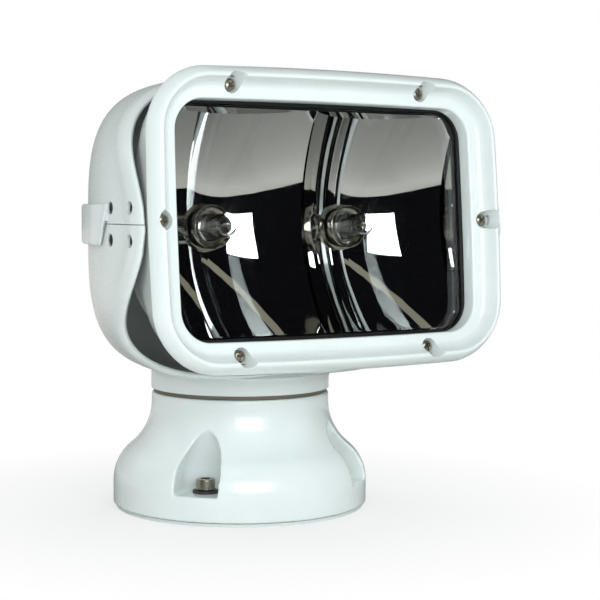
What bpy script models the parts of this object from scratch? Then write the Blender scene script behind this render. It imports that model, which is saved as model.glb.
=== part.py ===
"""Marine searchlight with remote pan and tilt.

Metres, +Z up. The origin is on the pan axis at the underside of the base, and the lamp faces -Y.
The head hangs on an empty at the tilt axis; its sizes are given as distances ahead of that axis.
"""

import math

import bmesh
import bpy
from mathutils import Matrix, Vector

# General clearances and walls
GAP = 0.0003
WALL = 0.0028
CUT = 0.002

# Base
BASE_RADIUS = 0.0640
BASE_RIM_HEIGHT = 0.0130
SHOULDER_RADIUS = 0.0227
WAIST_RADIUS = 0.0447
WAIST_FILLET = 0.0290
BASE_HEIGHT = 0.0577
BASE_WALL = 0.0035
BASE_TURN = math.radians(-4.0)
GASKET_THICKNESS = 0.0015
GASKET_INSET = 0.0015

# Deck screws and their pockets
DECK_SCREWS = 4
DECK_SCREW_CIRCLE = 0.0490
DECK_SCREW_RADIUS = 0.0030
DECK_HEAD_RADIUS = 0.0046
DECK_HEAD_HEIGHT = 0.0052
DECK_HEX_RADIUS = 0.0026
WASHER_RADIUS = 0.0062
WASHER_THICKNESS = 0.0010
POCKET_FLOOR = 0.0137
POCKET_HALF_WIDTH = 0.0112
POCKET_SHOULDER = 0.0240
POCKET_APEX = 0.0475
BOSS_RADIUS = 0.0155

# Pan shaft, bush and gears
SHAFT_RADIUS = 0.0090
SHAFT_BORE = 0.0060
SHAFT_FLANGE_RADIUS = 0.0180
SHAFT_FLANGE_THICKNESS = 0.0030
SHAFT_END = 0.0195
BUSH_WALL = 0.0026
BUSH_FLANGE_RADIUS = 0.0170
BUSH_FLANGE_THICKNESS = 0.0013
BUSH_LENGTH = 0.0170
TOWER_RADIUS = 0.0170
GEAR_MODULE = 0.00125
BACKLASH = 0.0004
PAN_TEETH = 48
PINION_TEETH = 12
GEAR_THICKNESS = 0.0050
PAN_GEAR_BOTTOM = 0.0300
PAN_HUB_RADIUS = 0.0130
NUT_RADIUS = 0.0150
NUT_HEIGHT = 0.0070
PLATE_THICKNESS = 0.0030
PLATE_RADIUS = 0.0500
PAN_MOTOR_RADIUS = 0.0110
PINION_SHAFT_RADIUS = 0.0030
GLAND_OFFSET = 0.0340
GLAND_RADIUS = 0.0078
GLAND_STEM_RADIUS = 0.0050
GLAND_BORE = 0.0032
GLAND_HEIGHT = 0.0130

# Yoke bucket
SEAM_GAP = 0.0020
NECK_RADIUS = 0.0449
NECK_WALL = 0.0035
NECK_TOP = 0.0980
BUCKET_MARGIN = 0.0034
BUCKET_HEIGHT_MARGIN = 0.0029
BUCKET_CENTRE = 0.1402
BUCKET_REAR = 0.0520
BUCKET_SIDE_END = -0.0582
BUCKET_TOP_END = -0.0100
BUCKET_FLOOR_END = 0.0060
BUCKET_PLAN_POWER = 2.0
BUCKET_PROFILE_POWER = 2.6
BUCKET_SECTION_POWER = 3.6
BUCKET_POINTS = 44
REAR_ROWS = (0.0012, 0.005, 0.012, 0.023, 0.040, 0.066)
EAR_REACH = -0.0880
LIP_TOP = -0.0520
LIP_CORNER = -0.0600
LIP_BOTTOM = -0.0490
EAR_SPAN_UP = 0.0620
EAR_SPAN_DOWN = 0.0640
LIP_ROUND = 0.0120
LIP_TUCK = 0.0012
COVER_SEAM = 0.1427

# Strap moulded on the rear cover
STRAP_BOTTOM = 0.1330
STRAP_TOP = 0.1515
STRAP_PROUD = 0.0030
STRAP_START = -0.0530
STRAP_SLANT = 0.0060
STRAP_GAP = 0.0006

# Tilt axis, pivots and side screws
TILT_AXIS_Y = -0.0668
TILT_AXIS_Z = 0.1431
REST_TILT = math.radians(4.5)
PIVOT_PLATE_THICKNESS = 0.0014
PIVOT_PLATE_RADIUS = 0.0149
PIVOT_PIN_RADIUS = 0.0050
PIVOT_PIN_REACH = 0.0088
PIVOT_BUSH_RADIUS = 0.0070
PIVOT_BUSH_FLANGE_RADIUS = 0.0090
PIVOT_BUSH_FLANGE = 0.0011
PIVOT_BOSS_RADIUS = 0.0098
SIDE_SCREW_SPREAD_Y = 0.01065
SIDE_SCREW_SPREAD_Z = 0.0071
SIDE_SCREW_HEAD = 0.0028
SIDE_SCREW_RADIUS = 0.0014
SIDE_RECESS_RADIUS = 0.0031
SIDE_RECESS_DEPTH = 0.0018

# Tilt drive
SECTOR_TEETH = 96
SECTOR_HALF_ANGLE = math.radians(33.0)
SECTOR_THICKNESS = 0.0060
SECTOR_FOOT = 0.0120
SECTOR_FOOT_THICKNESS = 0.0025
TILT_MOTOR_RADIUS = 0.0120
TILT_MOTOR_LENGTH = 0.0400
BRACKET_OFFSET = 0.0050
BRACKET_THICKNESS = 0.0030
BRACKET_HALF_WIDTH = 0.0105
BRACKET_FOOT_START = 0.0200
BRACKET_TOE = 0.0100
PINION_Y = TILT_AXIS_Y + GEAR_MODULE * (SECTOR_TEETH + PINION_TEETH) / 2.0

# Head: half sizes, and distances ahead of the tilt axis
WINDOW_HALF_WIDTH = 0.0795
WINDOW_HALF_HEIGHT = 0.0541
BEZEL_FACE = 0.0147
BEZEL_HALF_WIDTH = WINDOW_HALF_WIDTH + BEZEL_FACE
BEZEL_HALF_HEIGHT = WINDOW_HALF_HEIGHT + BEZEL_FACE
BUCKET_HALF_WIDTH = BEZEL_HALF_WIDTH + BUCKET_MARGIN
BUCKET_HALF_HEIGHT = BEZEL_HALF_HEIGHT + BUCKET_HEIGHT_MARGIN
PAD_FACE = BUCKET_HALF_WIDTH - WALL
PIVOT_PIN_END = PAD_FACE - PIVOT_PIN_REACH
BEZEL_CORNER = 0.0285
BEZEL_BOW = 0.0020
WINDOW_BOW = 0.0008
BEZEL_CROWN = 0.0272
BEZEL_BACK = 0.0200
BEZEL_OUTER_SIDE = ((0.0, 0.0200), (0.0007, 0.0222), (0.0020, 0.0246), (0.0034, 0.0264), (0.0043, 0.0271))
BEZEL_RIDGE = ((0.0049, 0.0272), (0.0055, 0.0268))
BEZEL_COVE = ((0.0062, 0.0253), (0.0070, 0.0235), (0.0080, 0.0219), (0.0094, 0.0206), (0.0112, 0.0200))
BEZEL_EDGE = ((0.0132, 0.0197), (0.0143, 0.0194), (0.0147, 0.0186))
LEDGE_UNDERSIDE = 0.0165
SKIRT = 0.0048
WINDOW_CORNER = 0.0140
LIP_WALL = 0.0021
LIP_END = 0.0122
BEZEL_SCREW_X = WINDOW_HALF_WIDTH * 0.640
BEZEL_SCREW_Z = BEZEL_HALF_HEIGHT - 0.0089
BEZEL_SIDE_SCREW_X = BEZEL_HALF_WIDTH - 0.0080
BEZEL_SCREW_SEAT = 0.0170
BEZEL_HEAD_RADIUS = 0.0030
BEZEL_HEAD_HEIGHT = 0.0020
BEZEL_SHANK_RADIUS = 0.0014
BEZEL_BORE_RADIUS = 0.0034
BEZEL_BORE_DRAFT = 0.0023
BEZEL_BOSS_RADIUS = 0.0046
BEZEL_BOSS_BACK = 0.0152

# Lamp housing
HOUSING_DRAFT = 0.257
HOUSING_HEIGHT_DRAFT = 0.290
HOUSING_STRAIGHT_END = -0.0150
HOUSING_REAR = 0.0455
HOUSING_CAP = 0.0430
HOUSING_POWER = 2.2
HOUSING_CORNERS = ((0.0197, 0.0285), (0.0050, 0.0290), (-0.0010, 0.0340), (-0.0150, 0.0380))
HOUSING_WALL = 0.0022
LEDGE_BACK = 0.0005
LEDGE_FRONT = 0.0040
SCREW_POST_RADIUS = 0.0028

# Optics
GLASS_BACK = 0.0076
GLASS_THICKNESS = 0.0030
GLASS_MARGIN = 0.0006
GASKET_BACK = 0.0058
SEAL_MARGIN = 0.0021
SEAL_LAP = 0.0030
SEAL_CORNER = 0.0175
REFLECTOR_HALF_WIDTH = WINDOW_HALF_WIDTH - 0.0008
REFLECTOR_HALF_HEIGHT = WINDOW_HALF_HEIGHT - 0.0025
REFLECTOR_CORNER = 0.0100
REFLECTOR_RIM = 0.0055
REFLECTOR_FLANGE = 0.0040
FLANGE_CORNER = 0.0190
REFLECTOR_SKIN = 0.0012
BOWL_SPACING = REFLECTOR_HALF_WIDTH * 0.483
BOWL_VERTEX = -0.0310
BOWL_WIDE = 0.067
BOWL_TALL = 0.158
COLLAR_RADIUS = 0.0089
COLLAR_BORE = 0.0074
COLLAR_CUP = 0.0104
COLLAR_BACK = -0.0330
COLLAR_FRONT = -0.0260
BULB_RADIUS = 0.0057
BULB_BASE_RADIUS = 0.0066
BULB_TIP = -0.0080
HOLDER_RADIUS = 0.0080
HOLDER_LENGTH = 0.0046

ARC_STEPS = 5


def clear_scene():
    """Start from nothing."""
    for item in list(bpy.data.objects):
        bpy.data.objects.remove(item, do_unlink=True)


def new_collection(name):
    made = bpy.data.collections.new(name)
    bpy.context.scene.collection.children.link(made)
    return made


clear_scene()
PARTS = new_collection("marine_searchlight")
CUTTERS = new_collection("cutters")


def material(name, colour, roughness, metallic=0.0, alpha=1.0):
    made = bpy.data.materials.new(name)
    made.use_nodes = True
    shader = made.node_tree.nodes["Principled BSDF"]
    shader.inputs["Base Color"].default_value = (*colour, 1.0)
    shader.inputs["Roughness"].default_value = roughness
    shader.inputs["Metallic"].default_value = metallic
    shader.inputs["Alpha"].default_value = alpha
    made.diffuse_color = (*colour, alpha)
    return made


WHITE = material("white_gloss_plastic", (0.80, 0.84, 0.83), 0.22)
RUBBER = material("black_rubber", (0.02, 0.02, 0.02), 0.6)
STEEL = material("stainless_steel", (0.55, 0.54, 0.52), 0.3, 1.0)
CHROME = material("chrome", (0.78, 0.78, 0.78), 0.05, 1.0)
BRONZE = material("bronze", (0.55, 0.36, 0.16), 0.35, 1.0)
ALUMINIUM = material("aluminium", (0.60, 0.61, 0.62), 0.4, 1.0)
NYLON = material("natural_nylon", (0.75, 0.73, 0.66), 0.5)
BLACK_PLASTIC = material("black_plastic", (0.03, 0.03, 0.03), 0.5)
CERAMIC = material("ceramic", (0.85, 0.82, 0.75), 0.5)
GLASS = material("glass", (0.90, 0.93, 0.93), 0.03, 0.0, 0.3)


def add_object(name, mesh, finish, parent=None, smooth=35.0):
    """Put a mesh in the scene as a piece, or as a cutter when it has no finish."""
    made = bpy.data.objects.new(name, mesh)
    if finish is None:
        CUTTERS.objects.link(made)
        made.hide_render = True
        made.display_type = "WIRE"
    else:
        PARTS.objects.link(made)
        mesh.materials.append(finish)
        mesh.shade_smooth()
        mesh.set_sharp_from_angle(angle=math.radians(smooth))
    if parent is not None:
        made.parent = parent
    return made


def mesh_from(name, shape, sheet=False):
    """Write a bmesh to a new mesh and free it; a sheet faces the front, a solid faces outwards."""
    bmesh.ops.recalc_face_normals(shape, faces=shape.faces)
    shape.normal_update()
    if sheet:
        wrong = sum(face.normal.y * face.calc_area() for face in shape.faces) > 0.0
    else:
        wrong = shape.calc_volume(signed=True) < 0.0
    if wrong:
        bmesh.ops.reverse_faces(shape, faces=shape.faces)
    mesh = bpy.data.meshes.new(name)
    shape.to_mesh(mesh)
    shape.free()
    return mesh


def cylinder(name, radius, length, matrix, finish=None, parent=None, sides=32, end_radius=None):
    """Cylinder or cone centred on the matrix, along its Z."""
    shape = bmesh.new()
    far = radius if end_radius is None else end_radius
    bmesh.ops.create_cone(
        shape, cap_ends=True, segments=sides, radius1=radius, radius2=far, depth=length, matrix=matrix
    )
    return add_object(name, mesh_from(name, shape), finish, parent)


def block(name, low, high, finish=None, parent=None):
    """Box between two corners."""
    low, high = Vector(low), Vector(high)
    size = high - low
    matrix = Matrix.Translation((low + high) / 2.0) @ Matrix.Diagonal((*size, 1.0))
    shape = bmesh.new()
    bmesh.ops.create_cube(shape, size=1.0, matrix=matrix)
    return add_object(name, mesh_from(name, shape), finish, parent)


def turned(name, profile, finish=None, parent=None, steps=48, closed=False):
    """Profile of (radius, height) points turned round Z; a closed profile makes a ring."""
    shape = bmesh.new()
    points = [shape.verts.new((radius, 0.0, height)) for radius, height in profile]
    for first, second in zip(points, points[1:]):
        shape.edges.new((first, second))
    if closed:
        shape.edges.new((points[-1], points[0]))
    mesh = bpy.data.meshes.new(name)
    shape.to_mesh(mesh)
    shape.free()
    made = add_object(name, mesh, finish, parent)
    screw = made.modifiers.new("turn", "SCREW")
    screw.axis = "Z"
    screw.angle = 2.0 * math.pi
    screw.steps = steps
    screw.render_steps = steps
    screw.use_merge_vertices = True
    screw.merge_threshold = 0.00001
    screw.use_smooth_shade = True
    return made


def combine(target, tool, operation):
    change = target.modifiers.new(tool.name, "BOOLEAN")
    change.operation = operation
    change.solver = "EXACT"
    change.object = tool
    return change


def cut(target, *tools):
    for tool in tools:
        combine(target, tool, "DIFFERENCE")


def join(target, *tools):
    for tool in tools:
        combine(target, tool, "UNION")


def arc(centre, radius, start, end, steps=ARC_STEPS):
    """Points on an arc, angles in degrees, both ends included."""
    spread = [start + (end - start) * step / steps for step in range(steps + 1)]
    return [
        (centre[0] + radius * math.cos(math.radians(a)), centre[1] + radius * math.sin(math.radians(a)))
        for a in spread
    ]


def flat_part(name, outlines, thickness, finish=None, parent=None):
    """Flat outline, with any holes, filled and extruded evenly about its plane."""
    curve = bpy.data.curves.new(name, "CURVE")
    curve.dimensions = "2D"
    curve.fill_mode = "BOTH"
    curve.extrude = thickness / 2.0
    for outline in outlines:
        spline = curve.splines.new("POLY")
        spline.points.add(len(outline) - 1)
        for point, (u, v) in zip(spline.points, outline):
            point.co = (u, v, 0.0, 1.0)
        spline.use_cyclic_u = True
    guide = bpy.data.objects.new(name + "_outline", curve)
    CUTTERS.objects.link(guide)
    bpy.context.view_layer.update()
    evaluated = guide.evaluated_get(bpy.context.evaluated_depsgraph_get())
    mesh = bpy.data.meshes.new_from_object(evaluated)
    mesh.name = name
    bpy.data.objects.remove(guide, do_unlink=True)
    shape = bmesh.new()
    shape.from_mesh(mesh)
    bmesh.ops.remove_doubles(shape, verts=shape.verts, dist=0.000001)
    bmesh.ops.recalc_face_normals(shape, faces=shape.faces)
    shape.to_mesh(mesh)
    shape.free()
    mesh.materials.clear()
    return add_object(name, mesh, finish, parent)


def circle_outline(radius, sides=32):
    turn = 2.0 * math.pi / sides
    return [(radius * math.cos(step * turn), radius * math.sin(step * turn)) for step in range(sides)]


def rounded_outline(half_width, half_height, corner, bow=0.0, side_steps=3, corner_steps=4):
    """Rounded rectangle, anticlockwise, whose sides swell by bow at their middles."""
    points = []
    quarter = [(1, 1, 0), (-1, 1, 90), (-1, -1, 180), (1, -1, 270)]
    for index, (sign_u, sign_v, start) in enumerate(quarter):
        centre = (sign_u * (half_width - corner), sign_v * (half_height - corner))
        round_part = arc(centre, corner, start, start + 90, corner_steps)
        points.extend(round_part)
        sign_n, sign_m, next_start = quarter[(index + 1) % 4]
        following = (sign_n * (half_width - corner), sign_m * (half_height - corner))
        target = arc(following, corner, next_start, next_start + 90, 1)[0]
        for step in range(1, side_steps):
            share = step / side_steps
            points.append(
                (
                    round_part[-1][0] + (target[0] - round_part[-1][0]) * share,
                    round_part[-1][1] + (target[1] - round_part[-1][1]) * share,
                )
            )
    return [swell(u, v, half_width, half_height, bow) for u, v in points]


def swell(u, v, half_width, half_height, bow):
    """Pull a point in towards the corners, so that sides bow outwards by the given amount."""
    return (
        u * (1.0 - bow / half_width * (v / half_height) ** 2),
        v * (1.0 - bow / half_height * (u / half_width) ** 2),
    )


def bridge(shape, loops, closed):
    """Quads between neighbouring loops of vertices; closed joins the last loop to the first."""
    pairs = list(zip(loops, loops[1:]))
    if closed:
        pairs.append((loops[-1], loops[0]))
    for near, far in pairs:
        for index in range(len(near)):
            following = (index + 1) % len(near)
            shape.faces.new((near[index], near[following], far[following], far[index]))


def polar(radius, angle):
    return (radius * math.cos(angle), radius * math.sin(angle))


def gear_radii(teeth):
    pitch = GEAR_MODULE * teeth / 2.0
    return pitch - 1.3 * GEAR_MODULE, pitch, pitch + 0.85 * GEAR_MODULE


def tooth_flank(teeth, steps=2):
    """Radius and half angle of an involute tooth from root to tip."""
    root, pitch, tip = gear_radii(teeth)
    base = pitch * math.cos(math.radians(20.0))
    inv_pitch = math.tan(math.radians(20.0)) - math.radians(20.0)
    half_pitch = (math.pi * GEAR_MODULE / 2.0 - BACKLASH / 2.0) / (2.0 * pitch)
    start = max(root, base)
    flank = []
    if root < base:
        flank.append((root, half_pitch + inv_pitch - BACKLASH / (2.0 * pitch)))
    for step in range(steps + 1):
        radius = start + (tip - start) * step / steps
        pressure = math.acos(min(1.0, base / radius))
        flank.append((radius, half_pitch + inv_pitch - (math.tan(pressure) - pressure)))
    return flank


def gear_outline(teeth, phase, first=0, count=None):
    """Gear teeth round the origin, with one tooth centred on the phase angle."""
    count = teeth if count is None else count
    flank = tooth_flank(teeth)
    pitch_angle = 2.0 * math.pi / teeth
    points = []
    for index in range(first, first + count):
        middle = phase + index * pitch_angle
        points.extend(polar(radius, middle - half) for radius, half in flank)
        points.extend(polar(radius, middle + half) for radius, half in reversed(flank))
    return points


def to_front(distance=0.0):
    """Matrix that lays a piece turned round Z along the lamp axis, at a distance ahead."""
    return Matrix.Translation((0.0, -distance, 0.0)) @ Matrix.Rotation(math.pi / 2.0, 4, "X")


def base_profile(inset, top):
    """Outer side of the base from its top edge down to the foot, moved in by the inset."""
    shoulder = (BASE_RADIUS - SHOULDER_RADIUS, BASE_RIM_HEIGHT)
    waist_u = WAIST_RADIUS + WAIST_FILLET
    reach = SHOULDER_RADIUS + WAIST_FILLET
    rise = math.sqrt(reach**2 - (waist_u - shoulder[0]) ** 2)
    waist = (waist_u, shoulder[1] + rise)
    slope = math.degrees(math.atan2(rise, waist_u - shoulder[0]))
    points = [(WAIST_RADIUS - inset, top)]
    points += arc(waist, WAIST_FILLET + inset, 180.0, 180.0 + slope)
    points += arc(shoulder, SHOULDER_RADIUS - inset, slope, 0.0)[1:]
    return points


def deck_screw_places():
    """Angle of each deck screw, measured round +Z from +X."""
    for index in range(DECK_SCREWS):
        yield index + 1, BASE_TURN - math.pi / 4.0 + index * 2.0 * math.pi / DECK_SCREWS


def pocket_levels():
    """Height and half width of a pocket's pointed arch, from floor to apex."""
    span = POCKET_APEX - POCKET_SHOULDER
    levels = [(POCKET_FLOOR, POCKET_HALF_WIDTH), (POCKET_SHOULDER, POCKET_HALF_WIDTH)]
    for step in range(1, ARC_STEPS + 1):
        share = step / ARC_STEPS
        levels.append((POCKET_SHOULDER + span * share, max(0.0004, POCKET_HALF_WIDTH * (1.0 - share**1.5))))
    return levels


def pocket_cutter(index, angle):
    """Arch rounded at the back round the screw and open through the flank."""
    shape = bmesh.new()
    loops = []
    for height, half in pocket_levels():
        back = arc((DECK_SCREW_CIRCLE, 0.0), half, 90.0, 270.0, 9)
        outline = back + [(BASE_RADIUS + 4 * CUT, -half), (BASE_RADIUS + 4 * CUT, half)]
        loops.append([shape.verts.new((u, v, height)) for u, v in outline])
    bridge(shape, loops, closed=False)
    shape.faces.new(loops[0])
    shape.faces.new(loops[-1])
    cutter = add_object(f"pocket_{index}", mesh_from(f"pocket_{index}", shape), None)
    cutter.matrix_world = Matrix.Rotation(angle, 4, "Z")
    return cutter


def build_base():
    """Housing with its pockets and bush tower, gasket, deck screws and washers."""
    underside = GASKET_THICKNESS + GAP
    roof = BASE_HEIGHT - BASE_WALL
    bore = SHAFT_RADIUS + BUSH_WALL + 2 * GAP
    tower = [(bore, tower_height()), (TOWER_RADIUS, tower_height()), (TOWER_RADIUS, BASE_HEIGHT)]
    foot = [(BASE_RADIUS, underside), (bore, underside)]
    outer = tower + base_profile(0.0, BASE_HEIGHT) + foot
    housing = turned("base_housing", outer, WHITE, steps=40, closed=True)
    inner_foot = [(BASE_RADIUS - BASE_WALL, -CUT), (bore / 2, -CUT)]
    inner = [(bore / 2, roof)] + base_profile(BASE_WALL, roof) + inner_foot
    cavity = turned("base_cavity", inner, steps=32, closed=True)
    pockets = []
    holes = []
    for index, angle in deck_screw_places():
        place = Matrix.Rotation(angle, 4, "Z") @ Matrix.Translation((DECK_SCREW_CIRCLE, 0.0, 0.0))
        column = cylinder(f"pocket_column_{index}", BOSS_RADIUS, 4 * BASE_HEIGHT, place, sides=20)
        cut(cavity, column)
        pockets.append(pocket_cutter(index, angle))
        holes.append(
            cylinder(f"deck_hole_{index}", DECK_SCREW_RADIUS + GAP, 4 * POCKET_FLOOR, place, sides=12)
        )
    cut(housing, cavity)

    cut(housing, *pockets, *holes)

    gasket_radius = BASE_RADIUS - GASKET_INSET
    gasket = cylinder(
        "base_gasket", gasket_radius, GASKET_THICKNESS,
        Matrix.Translation((0, 0, GASKET_THICKNESS / 2)), RUBBER, sides=48,
    )
    cut(gasket, *holes, gland_hole())
    for index, angle in deck_screw_places():
        add_deck_screw(index, angle)


def tower_height():
    """Top of the tower that carries the pan bush, just under the yoke floor."""
    return yoke_floor_underside() - GAP - BUSH_FLANGE_THICKNESS - GAP


def yoke_floor_underside():
    return BUCKET_CENTRE - BUCKET_HALF_HEIGHT


def gland_hole():
    place = Matrix.Translation((-GLAND_OFFSET, 0.0, 0.0))
    return cylinder("gland_hole", GLAND_STEM_RADIUS + GAP, 8 * PLATE_THICKNESS, place, sides=16)


def add_deck_screw(index, angle):
    place = Matrix.Rotation(angle, 4, "Z") @ Matrix.Translation((DECK_SCREW_CIRCLE, 0.0, 0.0))
    low = POCKET_FLOOR + GAP
    washer = turned(
        f"deck_washer_{index}",
        [
            (WASHER_RADIUS, low + WASHER_THICKNESS),
            (WASHER_RADIUS, low),
            (DECK_SCREW_RADIUS + GAP, low),
            (DECK_SCREW_RADIUS + GAP, low + WASHER_THICKNESS),
        ],
        BLACK_PLASTIC, steps=12, closed=True,
    )
    washer.matrix_world = place
    seat = low + WASHER_THICKNESS + GAP
    top = seat + DECK_HEAD_HEIGHT
    chamfer = 0.0006
    screw = turned(
        f"deck_screw_{index}",
        [
            (0.0, top), (DECK_HEAD_RADIUS - chamfer, top), (DECK_HEAD_RADIUS, top - chamfer),
            (DECK_HEAD_RADIUS, seat), (DECK_SCREW_RADIUS, seat), (DECK_SCREW_RADIUS, GAP), (0.0, GAP),
        ],
        STEEL, steps=12,
    )
    screw.matrix_world = place
    socket = cylinder(
        f"hex_socket_{index}", DECK_HEX_RADIUS, DECK_HEAD_HEIGHT, place @ Matrix.Translation((0, 0, top)),
        sides=6,
    )
    cut(screw, socket)


def pan_pitch_radius():
    return gear_radii(PAN_TEETH)[1]


def pinion_distance():
    return pan_pitch_radius() + gear_radii(PINION_TEETH)[1]


def build_pan_drive():
    """Drive plate, motor, gears, shaft, bush, nut, gland and neck seal."""
    plate_low = GASKET_THICKNESS + GAP
    plate_top = plate_low + PLATE_THICKNESS
    plate = cylinder(
        "drive_plate", PLATE_RADIUS, PLATE_THICKNESS,
        Matrix.Translation((0, 0, (plate_low + plate_top) / 2)), ALUMINIUM, sides=48,
    )
    for index, angle in deck_screw_places():
        place = Matrix.Rotation(angle, 4, "Z") @ Matrix.Translation((DECK_SCREW_CIRCLE, 0.0, 0.0))
        cut(plate, cylinder(f"plate_scallop_{index}", BOSS_RADIUS + 2 * GAP, 0.02, place, sides=16))
    cut(plate, bpy.data.objects["gland_hole"])

    gland_low = GAP
    gland = turned(
        "cable_gland",
        [
            (GLAND_RADIUS - 0.0015, plate_top + GLAND_HEIGHT), (GLAND_RADIUS, plate_top + GLAND_HEIGHT - 0.002),
            (GLAND_RADIUS, plate_top + GAP), (GLAND_STEM_RADIUS, plate_top + GAP),
            (GLAND_STEM_RADIUS, gland_low), (GLAND_BORE, gland_low), (GLAND_BORE, plate_top + GLAND_HEIGHT),
        ],
        BLACK_PLASTIC, steps=24, closed=True,
    )
    gland.location = (-GLAND_OFFSET, 0.0, 0.0)

    reach = pinion_distance()
    motor_low = plate_top + GAP
    pinion_low = PAN_GEAR_BOTTOM - 0.0005
    motor_top = pinion_low - 0.0015
    turned(
        "pan_motor",
        [
            (0.0, motor_top), (0.0045, motor_top), (0.0045, motor_top - 0.0012),
            (PAN_MOTOR_RADIUS - 0.0008, motor_top - 0.0012), (PAN_MOTOR_RADIUS, motor_top - 0.002),
            (PAN_MOTOR_RADIUS, motor_low), (0.0, motor_low),
        ],
        STEEL, steps=32,
    ).location = (0.0, reach, 0.0)

    pinion = flat_part(
        "pan_pinion",
        [gear_outline(PINION_TEETH, -math.pi / 2.0 + math.pi / PINION_TEETH)],
        GEAR_THICKNESS + 0.001, NYLON,
    )
    pinion.location = (0.0, reach, pinion_low + GEAR_THICKNESS / 2 + 0.0005)
    stub_low = motor_top + GAP
    stub = cylinder(
        "pan_pinion_stub", PINION_SHAFT_RADIUS, pinion_low - stub_low + 0.001,
        Matrix.Translation((0.0, reach, (pinion_low + 0.001 + stub_low) / 2)), sides=16,
    )
    join(pinion, stub)

    gear = flat_part(
        "pan_gear",
        [gear_outline(PAN_TEETH, math.pi / 2.0), circle_outline(SHAFT_RADIUS + GAP, 24)],
        GEAR_THICKNESS, NYLON,
    )
    gear.location = (0.0, 0.0, PAN_GEAR_BOTTOM + GEAR_THICKNESS / 2)
    bush_low = tower_height() - BUSH_LENGTH
    hub_top = bush_low - GAP
    hub = turned(
        "pan_gear_hub",
        [
            (PAN_HUB_RADIUS, hub_top), (PAN_HUB_RADIUS, PAN_GEAR_BOTTOM + GEAR_THICKNESS / 2),
            (SHAFT_RADIUS + GAP, PAN_GEAR_BOTTOM + GEAR_THICKNESS / 2), (SHAFT_RADIUS + GAP, hub_top),
        ],
        steps=24, closed=True,
    )
    join(gear, hub)

    nut_top = PAN_GEAR_BOTTOM - GAP
    nut = flat_part(
        "pan_nut", [circle_outline(NUT_RADIUS, 6), circle_outline(SHAFT_RADIUS + GAP)], NUT_HEIGHT, STEEL
    )
    nut.location = (0.0, 0.0, nut_top - NUT_HEIGHT / 2)

    floor_low = yoke_floor_underside()
    flange_low = floor_low + WALL + GAP
    flange_top = flange_low + SHAFT_FLANGE_THICKNESS
    turned(
        "pan_shaft",
        [
            (SHAFT_FLANGE_RADIUS, flange_top), (SHAFT_FLANGE_RADIUS, flange_low), (SHAFT_RADIUS, flange_low),
            (SHAFT_RADIUS, SHAFT_END), (SHAFT_BORE, SHAFT_END), (SHAFT_BORE, flange_top),
        ],
        STEEL, steps=32, closed=True,
    )

    flange_under = tower_height() + GAP
    bush_outer = SHAFT_RADIUS + BUSH_WALL
    turned(
        "pan_bush",
        [
            (BUSH_FLANGE_RADIUS, flange_under + BUSH_FLANGE_THICKNESS), (BUSH_FLANGE_RADIUS, flange_under),
            (bush_outer, flange_under), (bush_outer, bush_low),
            (SHAFT_RADIUS + GAP, bush_low), (SHAFT_RADIUS + GAP, flange_under + BUSH_FLANGE_THICKNESS),
        ],
        BRONZE, steps=24, closed=True,
    )

    seal_outer = NECK_RADIUS - 0.0012
    turned(
        "neck_seal",
        [
            (seal_outer, BASE_HEIGHT + SEAM_GAP - GAP), (seal_outer, BASE_HEIGHT + GAP),
            (seal_outer - 0.006, BASE_HEIGHT + GAP), (seal_outer - 0.006, BASE_HEIGHT + SEAM_GAP - GAP),
        ],
        RUBBER, steps=32, closed=True,
    )


def bucket_size(y, inset, below=False):
    """Half width and half height of the bucket at a depth; the lower half keeps its height longer."""
    rear = BUCKET_REAR - inset
    side = max(0.0, (y - BUCKET_SIDE_END) / (rear - BUCKET_SIDE_END))
    end = BUCKET_FLOOR_END if below else BUCKET_TOP_END
    top = max(0.0, (y - end) / (rear - end))
    width = (1.0 - side**BUCKET_PLAN_POWER) ** (1.0 / BUCKET_PLAN_POWER)
    height = (1.0 - top**BUCKET_PROFILE_POWER) ** (1.0 / BUCKET_PROFILE_POWER)
    return (BUCKET_HALF_WIDTH - inset) * width, (BUCKET_HALF_HEIGHT - inset) * height


def ease(share):
    share = min(1.0, max(0.0, share))
    return (1.0 - math.cos(math.pi * share)) / 2.0


def lip_depth(across, height):
    """Depth of the mouth's edge: far forward at the ears, back at top and bottom."""
    if height >= 0.0:
        side = EAR_REACH + (LIP_CORNER - EAR_REACH) * ease(height / EAR_SPAN_UP)
        return side + (LIP_TOP - LIP_CORNER) * ease(2.0 - 2.0 * across / BUCKET_HALF_WIDTH)
    return EAR_REACH + (LIP_BOTTOM - EAR_REACH) * ease(-height / EAR_SPAN_DOWN)


def section_point(angle, width, height):
    """Point on the rounded section at an angle, as x and height above its centre."""
    power = 2.0 / BUCKET_SECTION_POWER
    cosine, sine = math.cos(angle), math.sin(angle)
    return (
        width * math.copysign(abs(cosine) ** power, cosine),
        height * math.copysign(abs(sine) ** power, sine),
    )


def bucket_depths(lip, inset):
    """Depths of the rows from the rear cap to the mouth, for one point of the section."""
    fixed = [BUCKET_REAR - inset - back for back in REAR_ROWS]
    start = fixed[-1]
    soft = lip + LIP_ROUND
    depths = fixed + [start + (soft - start) * share for share in (0.5, 1.0)]
    return depths + [lip + LIP_ROUND * share for share in (0.5, 0.2, 0.0)]


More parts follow.
